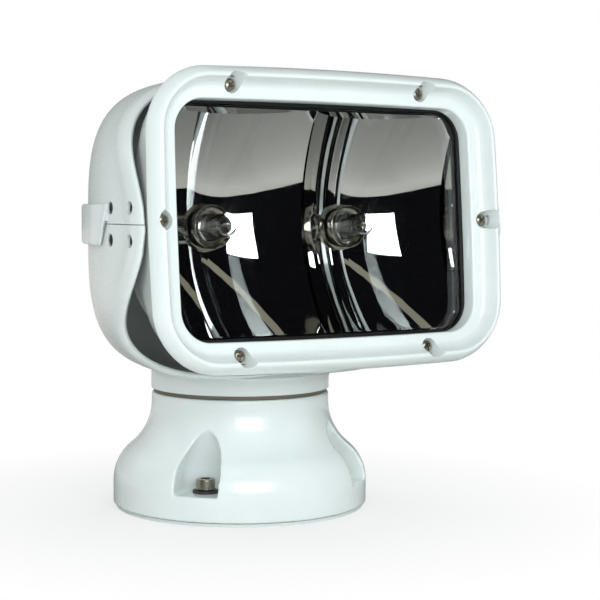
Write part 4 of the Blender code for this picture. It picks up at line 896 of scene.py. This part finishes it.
@dataclass
class LampHead:
    """Bezel, glass, gasket, housing, reflector and bulbs."""

    half_w: float = 0.0942
    half_h: float = 0.06868
    corner: float = 0.0285
    bow: float = 0.0020
    window_bow: float = 0.0008
    crown: float = 0.0272
    back: float = 0.0200
    face: float = 0.0147
    section: tuple[Point2, ...] = (
        (0.0, 0.0200), (0.0007, 0.0222), (0.0020, 0.0246), (0.0034, 0.0264), (0.0043, 0.02705),
        (0.0049, 0.0271), (0.0055, 0.0268), (0.0062, 0.0253), (0.0070, 0.0235), (0.0080, 0.0219),
        (0.0094, 0.0206), (0.0112, 0.0200), (0.0132, 0.0197), (0.0143, 0.0194), (0.0147, 0.0186))
    underside: float = 0.0165
    skirt: float = 0.0048
    window_w: float = 0.0795
    window_h: float = 0.0541
    window_corner: float = 0.0140
    lip_wall: float = 0.0021
    lip_end: float = 0.0122
    seat: float = 0.0170
    rim: float = 0.0055
    bowl_spacing: float = 0.0380
    bowl_vertex: float = -0.0310
    bowl_wide: float = 0.067
    bowl_tall: float = 0.158

    def build(self) -> None:
        """Make every visible piece of the head."""
        self._bezel()
        self._housing()
        self._reflector()
        self._glass()
        for index, (x, z) in enumerate(self._screw_places(), start=1):
            self._screw(index, x, z)
        for side, word in ((-1, "left"), (1, "right")):
            self._bulb(side, word)

    @staticmethod
    def _screw_places() -> list[Point2]:
        return [(-0.0509, 0.0599), (0.0509, 0.0599), (-0.0862, 0.0), (0.0862, 0.0), (-0.0509, -0.0599),
                (0.0509, -0.0599)]

    @staticmethod
    def _ring(half_w: float, half_h: float, corner: float, distance: float,
              bow: float = 0.0) -> list[Point3]:
        """Rounded outline at a distance ahead of the tilt axis."""
        return [(u, -distance, v) for u, v in rounded_outline(half_w, half_h, corner, bow)]

    @staticmethod
    def _on_pivot(x: float) -> Matrix:
        """Placement on the tilt axis, for a piece that lies along it."""
        return HEAD @ Matrix.Translation((x, 0.0, 0.0)) @ Matrix.Rotation(math.pi / 2, 4, "Y")

    def _bezel(self) -> None:
        """Front frame with its six open counterbores."""
        rings = smooth_run(self.section, 4)
        rings += [(self.face, self.lip_end), (self.face - self.lip_wall, self.lip_end),
                  (self.face - self.lip_wall, self.underside), (self.skirt, self.underside),
                  (self.skirt, self.back)]
        loops = []
        for inset, distance in rings:
            share = inset / self.face
            corner = self.corner + (self.window_corner - self.corner) * share
            bow = self.bow + (self.window_bow - self.bow) * share
            loops.append(self._ring(self.half_w - inset, self.half_h - inset, corner, distance, bow))
        bezel = loft("bezel_fine", loops, closed=True, matrix=HEAD)
        for x, z in self._screw_places():
            place = HEAD @ Matrix.Translation((x, 0.0, z))
            bezel.combine(rod("boss", 0.0046, 0.0023, place @ ahead(0.01635)), "UNION")
        for x, z in self._screw_places():
            place = HEAD @ Matrix.Translation((x, 0.0, z))
            front = self.crown + 0.002
            bore = rod("bore", 0.0034, front - self.seat, place @ ahead((front + self.seat) / 2), 0.0057, 64)
            bezel.combine(bore, "DIFFERENCE")
            bezel.combine(rod("hole", 0.0017, 0.01, place @ ahead(self.seat), sides=32), "DIFFERENCE")
        bezel.dress(WHITE, Body.HEAD, "white_plastic", ["bezel"], sharp=42.0)

    def _housing_size(self, distance: float) -> Point2:
        mouth = self.back - 0.0003
        straight = max(distance, -0.0150)
        width = self.half_w - 0.0003 - (mouth - straight) * 0.257
        height = self.half_h - 0.0006 - (mouth - straight) * 0.290
        if distance < -0.0150:
            share = (-0.0150 - distance) / (0.0455 - 0.0150)
            scale = (1 - share ** 2.2) ** (1 / 2.2)
            return width * scale, height * scale
        return width, height

    @staticmethod
    def _housing_corner(distance: float) -> float:
        table = ((0.0197, 0.0285), (0.0050, 0.0290), (-0.0010, 0.0340), (-0.0150, 0.0380))
        for (front, near), (back, far) in zip(table, table[1:]):
            if distance >= back:
                return near + (far - near) * (front - distance) / (front - back)
        return table[-1][1]

    def _housing(self) -> None:
        """Rear shell of the head, with its wall, ledge and pivot bosses."""
        mouth = self.back - 0.0003
        distances = [mouth, mouth - 0.0005, 0.016, 0.012, 0.008, 0.005, 0.003, 0.001, -0.001, -0.005, -0.010,
                     -0.015]
        distances += [-0.015 - 0.028 * (s / 16) ** 0.8 for s in range(1, 17)]
        full = self._housing_size(-0.0150)[1]

        def shell(inset: float, shift: float) -> list[list[Point3]]:
            loops = []
            for distance in distances:
                width, height = self._housing_size(distance)
                if distance == mouth and not inset:
                    width, height = width - 0.0006, height - 0.0006
                corner = self._housing_corner(distance) * min(1.0, height / full)
                bow = self.bow * width / self.half_w
                placed = max(distance, distances[-1] + shift) if shift else distance
                bend = max(corner - inset, 0.004)
                loops.append(self._ring(width - inset, height - inset, bend, placed, bow))
            return loops

        outer = shell(0.0, 0.0)
        inner = shell(0.0022, 0.0022)
        shape = bmesh.new()
        skins = [[[shape.verts.new(p) for p in loop] for loop in loops] for loops in (outer, inner)]
        for skin in skins:
            for near, far in zip(skin, skin[1:]):
                bridge(shape, near, far)
            shape.faces.new(skin[-1])
        bridge(shape, skins[0][0], skins[1][0])
        housing = Piece("lamp_housing_fine", shape, HEAD)
        for side in (-1, 1):
            boss = rod("boss", 0.0098, 0.0057, self._on_pivot(side * 0.08855), sides=64)
            housing.combine(boss, "UNION")
            bore = rod("bore", 0.0073, 0.030, self._on_pivot(side * 0.0914), sides=48)
            housing.combine(bore, "DIFFERENCE")
        housing.dress(WHITE, Body.HEAD, "white_plastic", ["lamp_housing"], sharp=38.0)

    def _bowl(self, x: float, z: float) -> float:
        """Distance of the double bowl ahead of the tilt axis."""
        rise = (abs(x) - self.bowl_spacing) ** 2 / self.bowl_wide + z ** 2 / self.bowl_tall
        return min(self.bowl_vertex + rise, self.rim - 0.001)

    def _reflector(self) -> None:
        """Two dished bowls, flat end walls and the flange, as one thin mirrored skin."""
        half_w, half_h, corner = 0.0787, 0.0516, 0.0100
        columns, rows = 200, 110
        flange_w, flange_h, flange_corner = 0.0827, 0.0556, 0.0190
        shape = bmesh.new()

        def snap(x: float, z: float, w: float, h: float, r: float) -> Point2:
            cx, cz = w - r, h - r
            if abs(x) <= cx or abs(z) <= cz:
                return x, z
            lean = Vector((abs(x) - cx, abs(z) - cz)).normalized() * r
            return math.copysign(cx + lean.x, x), math.copysign(cz + lean.y, z)

        grid = []
        for column in range(columns + 1):
            x = half_w * (2 * column / columns - 1)
            line = []
            for row in range(rows + 1):
                z = half_h * (2 * row / rows - 1)
                edge = max(abs(x) / half_w, abs(z) / half_h)
                u, v = (x, z)
                if edge > 1 - 1e-9:
                    u, v = snap(x, z, half_w, half_h, corner)
                elif abs(x) > half_w - corner and abs(z) > half_h - corner:
                    u, v = self._pull(x, z, half_w, half_h, corner)
                line.append(shape.verts.new((u, -self._bowl(u, v), v)))
            grid.append(line)
        for near, far in zip(grid, grid[1:]):
            for row in range(rows):
                shape.faces.new((near[row], far[row], far[row + 1], near[row + 1]))
        border = grid[0][:-1] + [line[-1] for line in grid[:-1]]
        border += list(reversed(grid[-1][1:])) + [line[0] for line in reversed(grid[1:])]
        walls = [border]
        for share in (0.25, 0.5, 0.75, 1.0):
            ring = []
            for vert in border:
                depth = -vert.co.y
                ring.append(shape.verts.new((vert.co.x, -(depth + (self.rim - depth) * share), vert.co.z)))
            walls.append(ring)
        flange = []
        for vert in border:
            u, v = snap(vert.co.x * flange_w / half_w, vert.co.z * flange_h / half_h, flange_w, flange_h,
                        flange_corner)
            flange.append(shape.verts.new((u, -self.rim, v)))
        walls.append(flange)
        for near, far in zip(walls, walls[1:]):
            bridge(shape, near, far)
        reflector = Piece("reflector_fine", shape, HEAD)
        self._face_front(reflector)
        skin = reflector.object.modifiers.new("skin", "SOLIDIFY")
        skin.thickness = 0.0012
        skin.offset = -1.0
        reflector.settle()
        for side in (-1, 1):
            place = HEAD @ Matrix.Translation((side * self.bowl_spacing, 0.0, 0.0)) @ ahead(self.bowl_vertex)
            reflector.combine(rod("collar_hole", 0.0092, 0.012, place, sides=64), "DIFFERENCE")
        reflector.dress(CHROME, Body.HEAD, "chrome", ["reflector"], sharp=38.0)

    @staticmethod
    def _pull(x: float, z: float, w: float, h: float, r: float) -> Point2:
        """Ease grid points near a corner inside its rounding."""
        cx, cz = w - r, h - r
        u, v = (abs(x) - cx) / r, (abs(z) - cz) / r
        limit = max(u, v)
        length = math.hypot(u, v)
        scale = limit / length if length > 0 else 1.0
        blend = limit ** 3
        factor = 1 - blend + blend * scale
        return math.copysign(cx + u * r * factor, x), math.copysign(cz + v * r * factor, z)

    @staticmethod
    def _face_front(piece: Piece) -> None:
        """Turn an open sheet so that its faces look forward."""
        shape = bmesh.new()
        shape.from_mesh(piece.object.data)
        shape.normal_update()
        if sum(face.normal.y * face.calc_area() for face in shape.faces) > 0:
            bmesh.ops.reverse_faces(shape, faces=shape.faces)
        shape.to_mesh(piece.object.data)
        shape.free()

    def _glass(self) -> None:
        """Front glass with a ground edge, and the channel gasket round it."""
        w, h, r = self.window_w + 0.0006, self.window_h + 0.0006, self.window_corner
        bevel = 0.0004
        loops = [self._ring(w - bevel, h - bevel, r, 0.0076), self._ring(w, h, r, 0.0076 + bevel),
                 self._ring(w, h, r, 0.0106 - bevel), self._ring(w - bevel, h - bevel, r, 0.0106)]
        loft("lens_glass_fine", loops, caps=True, matrix=HEAD).dress(GLASS, Body.HEAD, "clear_glass",
                                                                     ["lens_glass"])
        outer_w, outer_h, outer_r = self.window_w + 0.0021, self.window_h + 0.0021, 0.0175
        lap_w, lap_h, lap_r = self.window_w - 0.0017, self.window_h - 0.0017, r - 0.0017
        section = [(outer_w, outer_h, outer_r, 0.0058), (outer_w, outer_h, outer_r, 0.0119),
                   (lap_w + 0.0008, lap_h + 0.0008, lap_r, 0.0119),
                   (lap_w + 0.0002, lap_h + 0.0002, lap_r, 0.0117), (lap_w, lap_h, lap_r, 0.0112),
                   (lap_w, lap_h, lap_r, 0.0109), (w + 0.0003, h + 0.0003, r, 0.0109),
                   (w + 0.0003, h + 0.0003, r, 0.0073), (lap_w, lap_h, lap_r, 0.0073),
                   (lap_w, lap_h, lap_r, 0.0058)]
        loft("lens_gasket_fine", [self._ring(a, b, c, d) for a, b, c, d in section], closed=True,
             matrix=HEAD).dress(RUBBER, Body.HEAD, "black_rubber", ["lens_gasket"])

    def _screw(self, index: int, x: float, z: float) -> None:
        """Cross-head pan screw in its counterbore."""
        seat, end = self.seat + 0.0003, 0.0100
        dome = [(0.0, seat + 0.0021), (0.0009, seat + 0.00205), (0.0018, seat + 0.0019),
                (0.0025, seat + 0.0015), (0.0029, seat + 0.0010), (0.0030, seat + 0.0005), (0.0030, seat)]
        profile = dome + [(0.0014, seat), (0.0014, end), (0.0, end)]
        place = HEAD @ Matrix.Translation((x, 0.0, z)) @ ahead()
        screw = lathe(f"bezel_screw_fine_{index}", profile, 48, matrix=place)
        cut_cross(screw, place, 0.35 + 0.5 * index, (0.0018, 0.00035), (seat + 0.0008, seat + 0.0040))
        screw.dress(STEEL, Body.HEAD, "stainless_steel", [f"bezel_screw_{index}"])

    def _bulb(self, side: int, word: str) -> None:
        """Plated collar and halogen capsule on a bowl's axis."""
        place = HEAD @ Matrix.Translation((side * self.bowl_spacing, 0.0, 0.0)) @ ahead()
        front, rear, cup = -0.0260, -0.0330, 0.0104
        neck = front - 0.0024
        ring = [(cup - 0.0004, front), (cup, front - 0.0004), (cup, neck + 0.0008), (0.0096, neck + 0.0002),
                (0.0089, neck), (0.0089, rear), (0.0074, rear), (0.0074, neck), (0.0090, neck + 0.0006),
                (0.0095, front)]
        lathe(f"bulb_collar_fine_{word}", ring, 96, closed=True, matrix=place).dress(
            COLLAR_METAL, Body.HEAD, "plated_collar", [f"bulb_collar_{word}"])
        tip, radius = -0.0080, 0.0057
        dome = arc((0.0, tip - radius), radius, 90.0, 0.0, 16)
        bore = 0.0044
        hollow = arc((0.0, tip - radius), bore, 0.0, 90.0, 16)
        stem = [(radius, front), (0.0066, neck), (0.0066, rear), (bore, rear), (bore, front)]
        profile = dome + stem + hollow
        lathe(f"bulb_fine_{word}", profile, 64, matrix=place).dress(GLASS, Body.HEAD, "clear_glass",
                                                                     [f"bulb_{word}"])
        self._filament(word, place @ Matrix.Translation((0.0, 0.0, tip - radius)), rear - tip + radius)

    @staticmethod
    def _filament(word: str, place: Matrix, foot: float) -> None:
        """Two leads and the coil between them, inside a capsule."""
        wire, turns, coil, half = 0.00022, 7, 0.0006, 0.0017
        path = [Vector((-half, 0.0, foot)), Vector((-half, 0.0, 0.0))]
        for step in range(turns * 12 + 1):
            angle = 2 * math.pi * step / 12
            across = half * (2 * step / (turns * 12) - 1)
            path.append(Vector((across, coil * math.cos(angle), coil * math.sin(angle))))
        path += [Vector((half, 0.0, 0.0)), Vector((half, 0.0, foot))]
        loops = []
        for index, point in enumerate(path):
            along = (path[min(index + 1, len(path) - 1)] - path[max(index - 1, 0)]).normalized()
            side = along.cross(Vector((0.31, 0.91, 0.27))).normalized()
            other = along.cross(side)
            angles = [math.pi * s / 3 for s in range(6)]
            loops.append([tuple(point + wire * (side * math.cos(a) + other * math.sin(a))) for a in angles])
        loft(f"bulb_filament_{word}", loops, caps=True, matrix=place).dress(
            STEEL, Body.HEAD, "stainless_steel", [])


class HiddenParts:
    """Finishes for the CAD nodes that keep their own shape."""

    FINISHES: dict[str, Finish] = {
        "base_gasket": PALE_FOAM, "drive_plate": ALUMINIUM, "pan_motor": STEEL, "pan_bush": BRONZE,
        "cable_gland": DARK_PLASTIC, "pan_pinion": NYLON, "pan_shaft": STEEL, "pan_gear": NYLON,
        "pan_nut": STEEL, "pivot_plate_left": STEEL, "pivot_plate_right": STEEL, "tilt_bracket": ALUMINIUM,
        "tilt_motor": STEEL, "tilt_pinion": NYLON, "tilt_sector": ALUMINIUM, "bulb_holder_left": CERAMIC,
        "bulb_holder_right": CERAMIC, "pivot_bush_left": BRONZE, "pivot_bush_right": BRONZE,
    }

    def apply(self) -> None:
        """Assign each finish to its node's material slot."""
        for name, finish in self.FINISHES.items():
            mesh = bpy.data.objects[name].data
            if not mesh.materials:
                mesh.materials.append(SHOP.get(finish))
            for index in range(len(mesh.materials)):
                mesh.materials[index] = SHOP.get(finish)


@dataclass(frozen=True)
class Lamp:
    """An area light, placed by direction from the lamp head.

    Attributes:
        name: Object name.
        azimuth: Degrees round +Z, 0 in front of the lamp and positive towards +X.
        elevation: Degrees above the horizon.
        distance: Metres from the head.
        width: Metres across.
        height: Metres up.
        power: Watts.
        colour: Linear colour.
        mirrored: Whether the chrome shows it.
    """

    name: str
    azimuth: float
    elevation: float
    distance: float
    width: float
    height: float
    power: float
    colour: Point3 = (0.95, 0.98, 1.0)
    mirrored: bool = False


@dataclass(frozen=True)
class Card:
    """A pale strip that only the chrome sees.

    Attributes:
        name: Object name.
        strip: Azimuth, low elevation and high elevation of each place, in degrees.
        colour: Linear colour.
    """

    name: str
    strip: tuple[Point3, ...]
    colour: Point3


def towards(azimuth: float, elevation: float) -> Vector:
    """Unit vector away from the lamp head.

    Args:
        azimuth: Degrees round +Z, 0 in front of the lamp and positive towards +X.
        elevation: Degrees above the horizon.

    Returns:
        The direction.
    """
    turn, rise = math.radians(azimuth), math.radians(elevation)
    return Vector((math.sin(turn) * math.cos(rise), -math.cos(turn) * math.cos(rise), math.sin(rise)))


class Studio:
    """Floor, lights, dark wall and camera."""

    TARGET = Vector((0.0, -0.09, 0.143))
    WALL_LEVELS = (-10.4, 30.0, 55.0, 75.0, 89.0)
    WALL_COLOUR = (0.004, 0.004, 0.005)
    LENS_MM = 93.15
    SENSOR_MM = 36.0
    CAMERA_PLACE = (-0.3847, -0.6839, 0.1520)
    CAMERA_ROLL = math.radians(0.28)
    LAMPS = (
        Lamp("key_box", -20.0, 12.5, 0.70, 0.64, 0.31, 3.8, (0.90, 0.96, 1.0), mirrored=True),
        Lamp("low_fill", -34.0, 2.0, 1.2, 0.8, 0.4, 1.5),
        Lamp("left_fill", -85.0, 20.0, 1.2, 0.8, 0.8, 2.2),
        Lamp("right_fill", 45.0, 25.0, 1.2, 0.8, 0.8, 2.6),
        Lamp("back_right", 118.0, 30.0, 1.2, 0.8, 0.8, 4.5),
        Lamp("back_left", -155.0, 35.0, 1.2, 0.8, 0.8, 4.0),
    )
    WALL_RADIUS = 0.78
    CARDS = (
        Card("pale_beam", ((58.0, 17.0, 20.0), (40.0, 23.0, 28.0), (20.0, 31.0, 37.0),
                           (-6.0, 40.0, 46.5), (-30.0, 48.0, 55.0), (-47.0, 53.5, 60.0),
                           (-59.0, 57.0, 63.0), (-76.0, 62.0, 66.0)), (0.30, 0.28, 0.22)),
    )

    def build(self) -> None:
        """Make the whole studio."""
        self._floor()
        self._world()
        for lamp in self.LAMPS:
            self._lamp(lamp)
        self._wall()
        self._camera()
        bpy.context.scene.view_settings.view_transform = "Standard"

    def _lamp(self, lamp: Lamp) -> None:
        """Add an area light that faces the lamp head."""
        away = towards(lamp.azimuth, lamp.elevation)
        data = bpy.data.lights.new(lamp.name, "AREA")
        data.shape = "RECTANGLE"
        data.size, data.size_y = lamp.width, lamp.height
        data.energy = lamp.power
        data.color = lamp.colour
        made = bpy.data.objects.new(lamp.name, data)
        turn = away.to_track_quat("Z", "Y").to_matrix().to_4x4()
        made.matrix_world = Matrix.Translation(self.TARGET + away * lamp.distance) @ turn
        made.visible_glossy = lamp.mirrored
        bpy.context.scene.collection.objects.link(made)

    def _wall(self) -> None:
        """Dark dome that only the chrome sees, as the unlit studio, with the pale things in it."""
        for index, (low, high) in enumerate(zip(self.WALL_LEVELS, self.WALL_LEVELS[1:])):
            strip = [(azimuth, low, high) for azimuth in range(-130, 151, 5)]
            self._strip(f"dark_wall_{index}", strip, self.WALL_RADIUS, self.WALL_COLOUR)
        for card in self.CARDS:
            self._strip(card.name, card.strip, self.WALL_RADIUS - 0.02, card.colour)

    def _strip(self, name: str, strip: Sequence[Point3], radius: float, colour: Point3) -> None:
        """Glowing band that only the chrome sees.

        Args:
            name: Object name.
            strip: Azimuth, low elevation and high elevation of each place, in degrees.
            radius: Metres from the head.
            colour: Linear colour, where 1 is white.
        """
        shape = bmesh.new()
        pairs = []
        for azimuth, *span in strip:
            pairs.append([shape.verts.new(self.TARGET + radius * towards(azimuth, rise)) for rise in span])
        for near, far in zip(pairs, pairs[1:]):
            shape.faces.new((near[0], far[0], far[1], near[1]))
        wall = Piece(name, shape).object
        made = bpy.data.materials.new(name)
        made.use_nodes = True
        tree = made.node_tree
        glow = add_node(tree, "ShaderNodeEmission", Color=(*colour, 1.0))
        tree.links.new(glow.outputs[0], tree.nodes["Material Output"].inputs["Surface"])
        wall.data.materials.append(made)
        wall.visible_camera = False
        wall.visible_diffuse = False
        wall.visible_shadow = False

    @staticmethod
    def _floor() -> None:
        """White sweep: lit paper near the object for its shadow, plain white further out. The chrome and
        glass see a painted warm grey glow instead, with painted shade near the object.
        """
        shape = bmesh.new()
        bmesh.ops.create_grid(shape, x_segments=1, y_segments=1, size=6.0)
        piece = Piece("studio_floor", shape).object
        made = bpy.data.materials.new("studio_floor")
        made.use_nodes = True
        tree = made.node_tree
        paper = tree.nodes["Principled BSDF"]
        paper.inputs["Base Color"].default_value = (0.80, 0.80, 0.79, 1.0)
        paper.inputs["Roughness"].default_value = 0.9
        paper.inputs["Specular IOR Level"].default_value = 0.1
        place = tree.nodes.new("ShaderNodeTexCoord")
        length = tree.nodes.new("ShaderNodeVectorMath")
        length.operation = "LENGTH"
        tree.links.new(place.outputs["Object"], length.inputs[0])
        far = add_node(tree, "ShaderNodeMapRange", From_Min=0.064, From_Max=0.20, To_Min=0.62, To_Max=1.0)
        tree.links.new(length.outputs["Value"], far.inputs["Value"])
        # Painted reflection of the floor for chrome and glass: a warm grey glow, with painted shade where it
        # is weaker near the object.
        glow = add_node(tree, "ShaderNodeMapRange", From_Min=0.10, From_Max=0.62, To_Min=0.16, To_Max=0.62)
        tree.links.new(length.outputs["Value"], glow.inputs["Value"])
        path = tree.nodes.new("ShaderNodeLightPath")
        white = add_node(tree, "ShaderNodeEmission", Color=(1.0, 1.0, 1.0, 1.0), Strength=1.0)
        grey = add_node(tree, "ShaderNodeEmission", Color=(1.0, 0.985, 0.93, 1.0))
        tree.links.new(glow.outputs["Result"], grey.inputs["Strength"])
        share = tree.nodes.new("ShaderNodeMath")
        share.operation = "MULTIPLY"
        tree.links.new(far.outputs["Result"], share.inputs[0])
        tree.links.new(path.outputs["Is Camera Ray"], share.inputs[1])
        seen = tree.nodes.new("ShaderNodeMixShader")
        tree.links.new(share.outputs[0], seen.inputs[0])
        tree.links.new(paper.outputs[0], seen.inputs[1])
        tree.links.new(white.outputs[0], seen.inputs[2])
        indirect = tree.nodes.new("ShaderNodeMath")
        indirect.operation = "MAXIMUM"
        tree.links.new(path.outputs["Is Glossy Ray"], indirect.inputs[0])
        tree.links.new(path.outputs["Is Transmission Ray"], indirect.inputs[1])
        mirrored = tree.nodes.new("ShaderNodeMixShader")
        tree.links.new(indirect.outputs[0], mirrored.inputs[0])
        tree.links.new(seen.outputs[0], mirrored.inputs[1])
        tree.links.new(grey.outputs[0], mirrored.inputs[2])
        tree.links.new(mirrored.outputs[0], tree.nodes["Material Output"].inputs["Surface"])
        piece.data.materials.append(made)

    @staticmethod
    def _world() -> None:
        """White for the camera, and a dim room for everything else."""
        world = bpy.data.worlds.new("studio")
        bpy.context.scene.world = world
        world.use_nodes = True
        tree = world.node_tree
        tree.nodes.clear()
        out = tree.nodes.new("ShaderNodeOutputWorld")
        path = tree.nodes.new("ShaderNodeLightPath")
        white = add_node(tree, "ShaderNodeBackground", Color=(1.0, 1.0, 1.0, 1.0), Strength=1.0)
        room = add_node(tree, "ShaderNodeBackground", Color=(0.94, 1.0, 0.96, 1.0), Strength=0.34)
        seen = tree.nodes.new("ShaderNodeMath")
        seen.operation = "MAXIMUM"
        tree.links.new(path.outputs["Is Camera Ray"], seen.inputs[0])
        tree.links.new(path.outputs["Is Transmission Ray"], seen.inputs[1])
        mix = tree.nodes.new("ShaderNodeMixShader")
        tree.links.new(seen.outputs[0], mix.inputs[0])
        tree.links.new(room.outputs[0], mix.inputs[1])
        tree.links.new(white.outputs[0], mix.inputs[2])
        tree.links.new(mix.outputs[0], out.inputs["Surface"])

    @staticmethod
    def _camera() -> None:
        """Camera with the photograph's place, aim, roll and lens."""
        data = bpy.data.cameras.new("photo_camera")
        data.sensor_width = Studio.SENSOR_MM
        data.lens = Studio.LENS_MM
        camera = bpy.data.objects.new("photo_camera", data)
        forward = Vector((0.5224, 0.8505, -0.0618)).normalized()
        right = Vector((0.8521, -0.5234, 0.0)).normalized()
        up = right.cross(forward).normalized()
        turned = right * math.cos(Studio.CAMERA_ROLL) + up * math.sin(Studio.CAMERA_ROLL)
        raised = turned.cross(forward).normalized()
        axes = Matrix((turned, raised, -forward)).transposed().to_4x4()
        camera.matrix_world = Matrix.Translation(Studio.CAMERA_PLACE) @ axes
        data.clip_start, data.clip_end = 0.01, 50.0
        bpy.context.scene.collection.objects.link(camera)
        bpy.context.scene.camera = camera


def corners(box: Sequence[Vector]) -> list[list[float]]:
    """Turn a box into plain lists.

    Args:
        box: Lowest and highest corner.

    Returns:
        Two lists of three numbers.
    """
    return [[float(value) for value in corner] for corner in box]


def main() -> None:
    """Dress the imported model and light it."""
    logging.basicConfig(level=logging.INFO)
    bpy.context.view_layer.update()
    Studio().build()
    DeckBase().build()
    LOG.info("base done")
    Bucket().build()
    LOG.info("bucket done")
    LampHead().build()
    LOG.info("head done")
    HiddenParts().apply()
    bpy.context.view_layer.update()


if __name__ == "__main__":
    main()
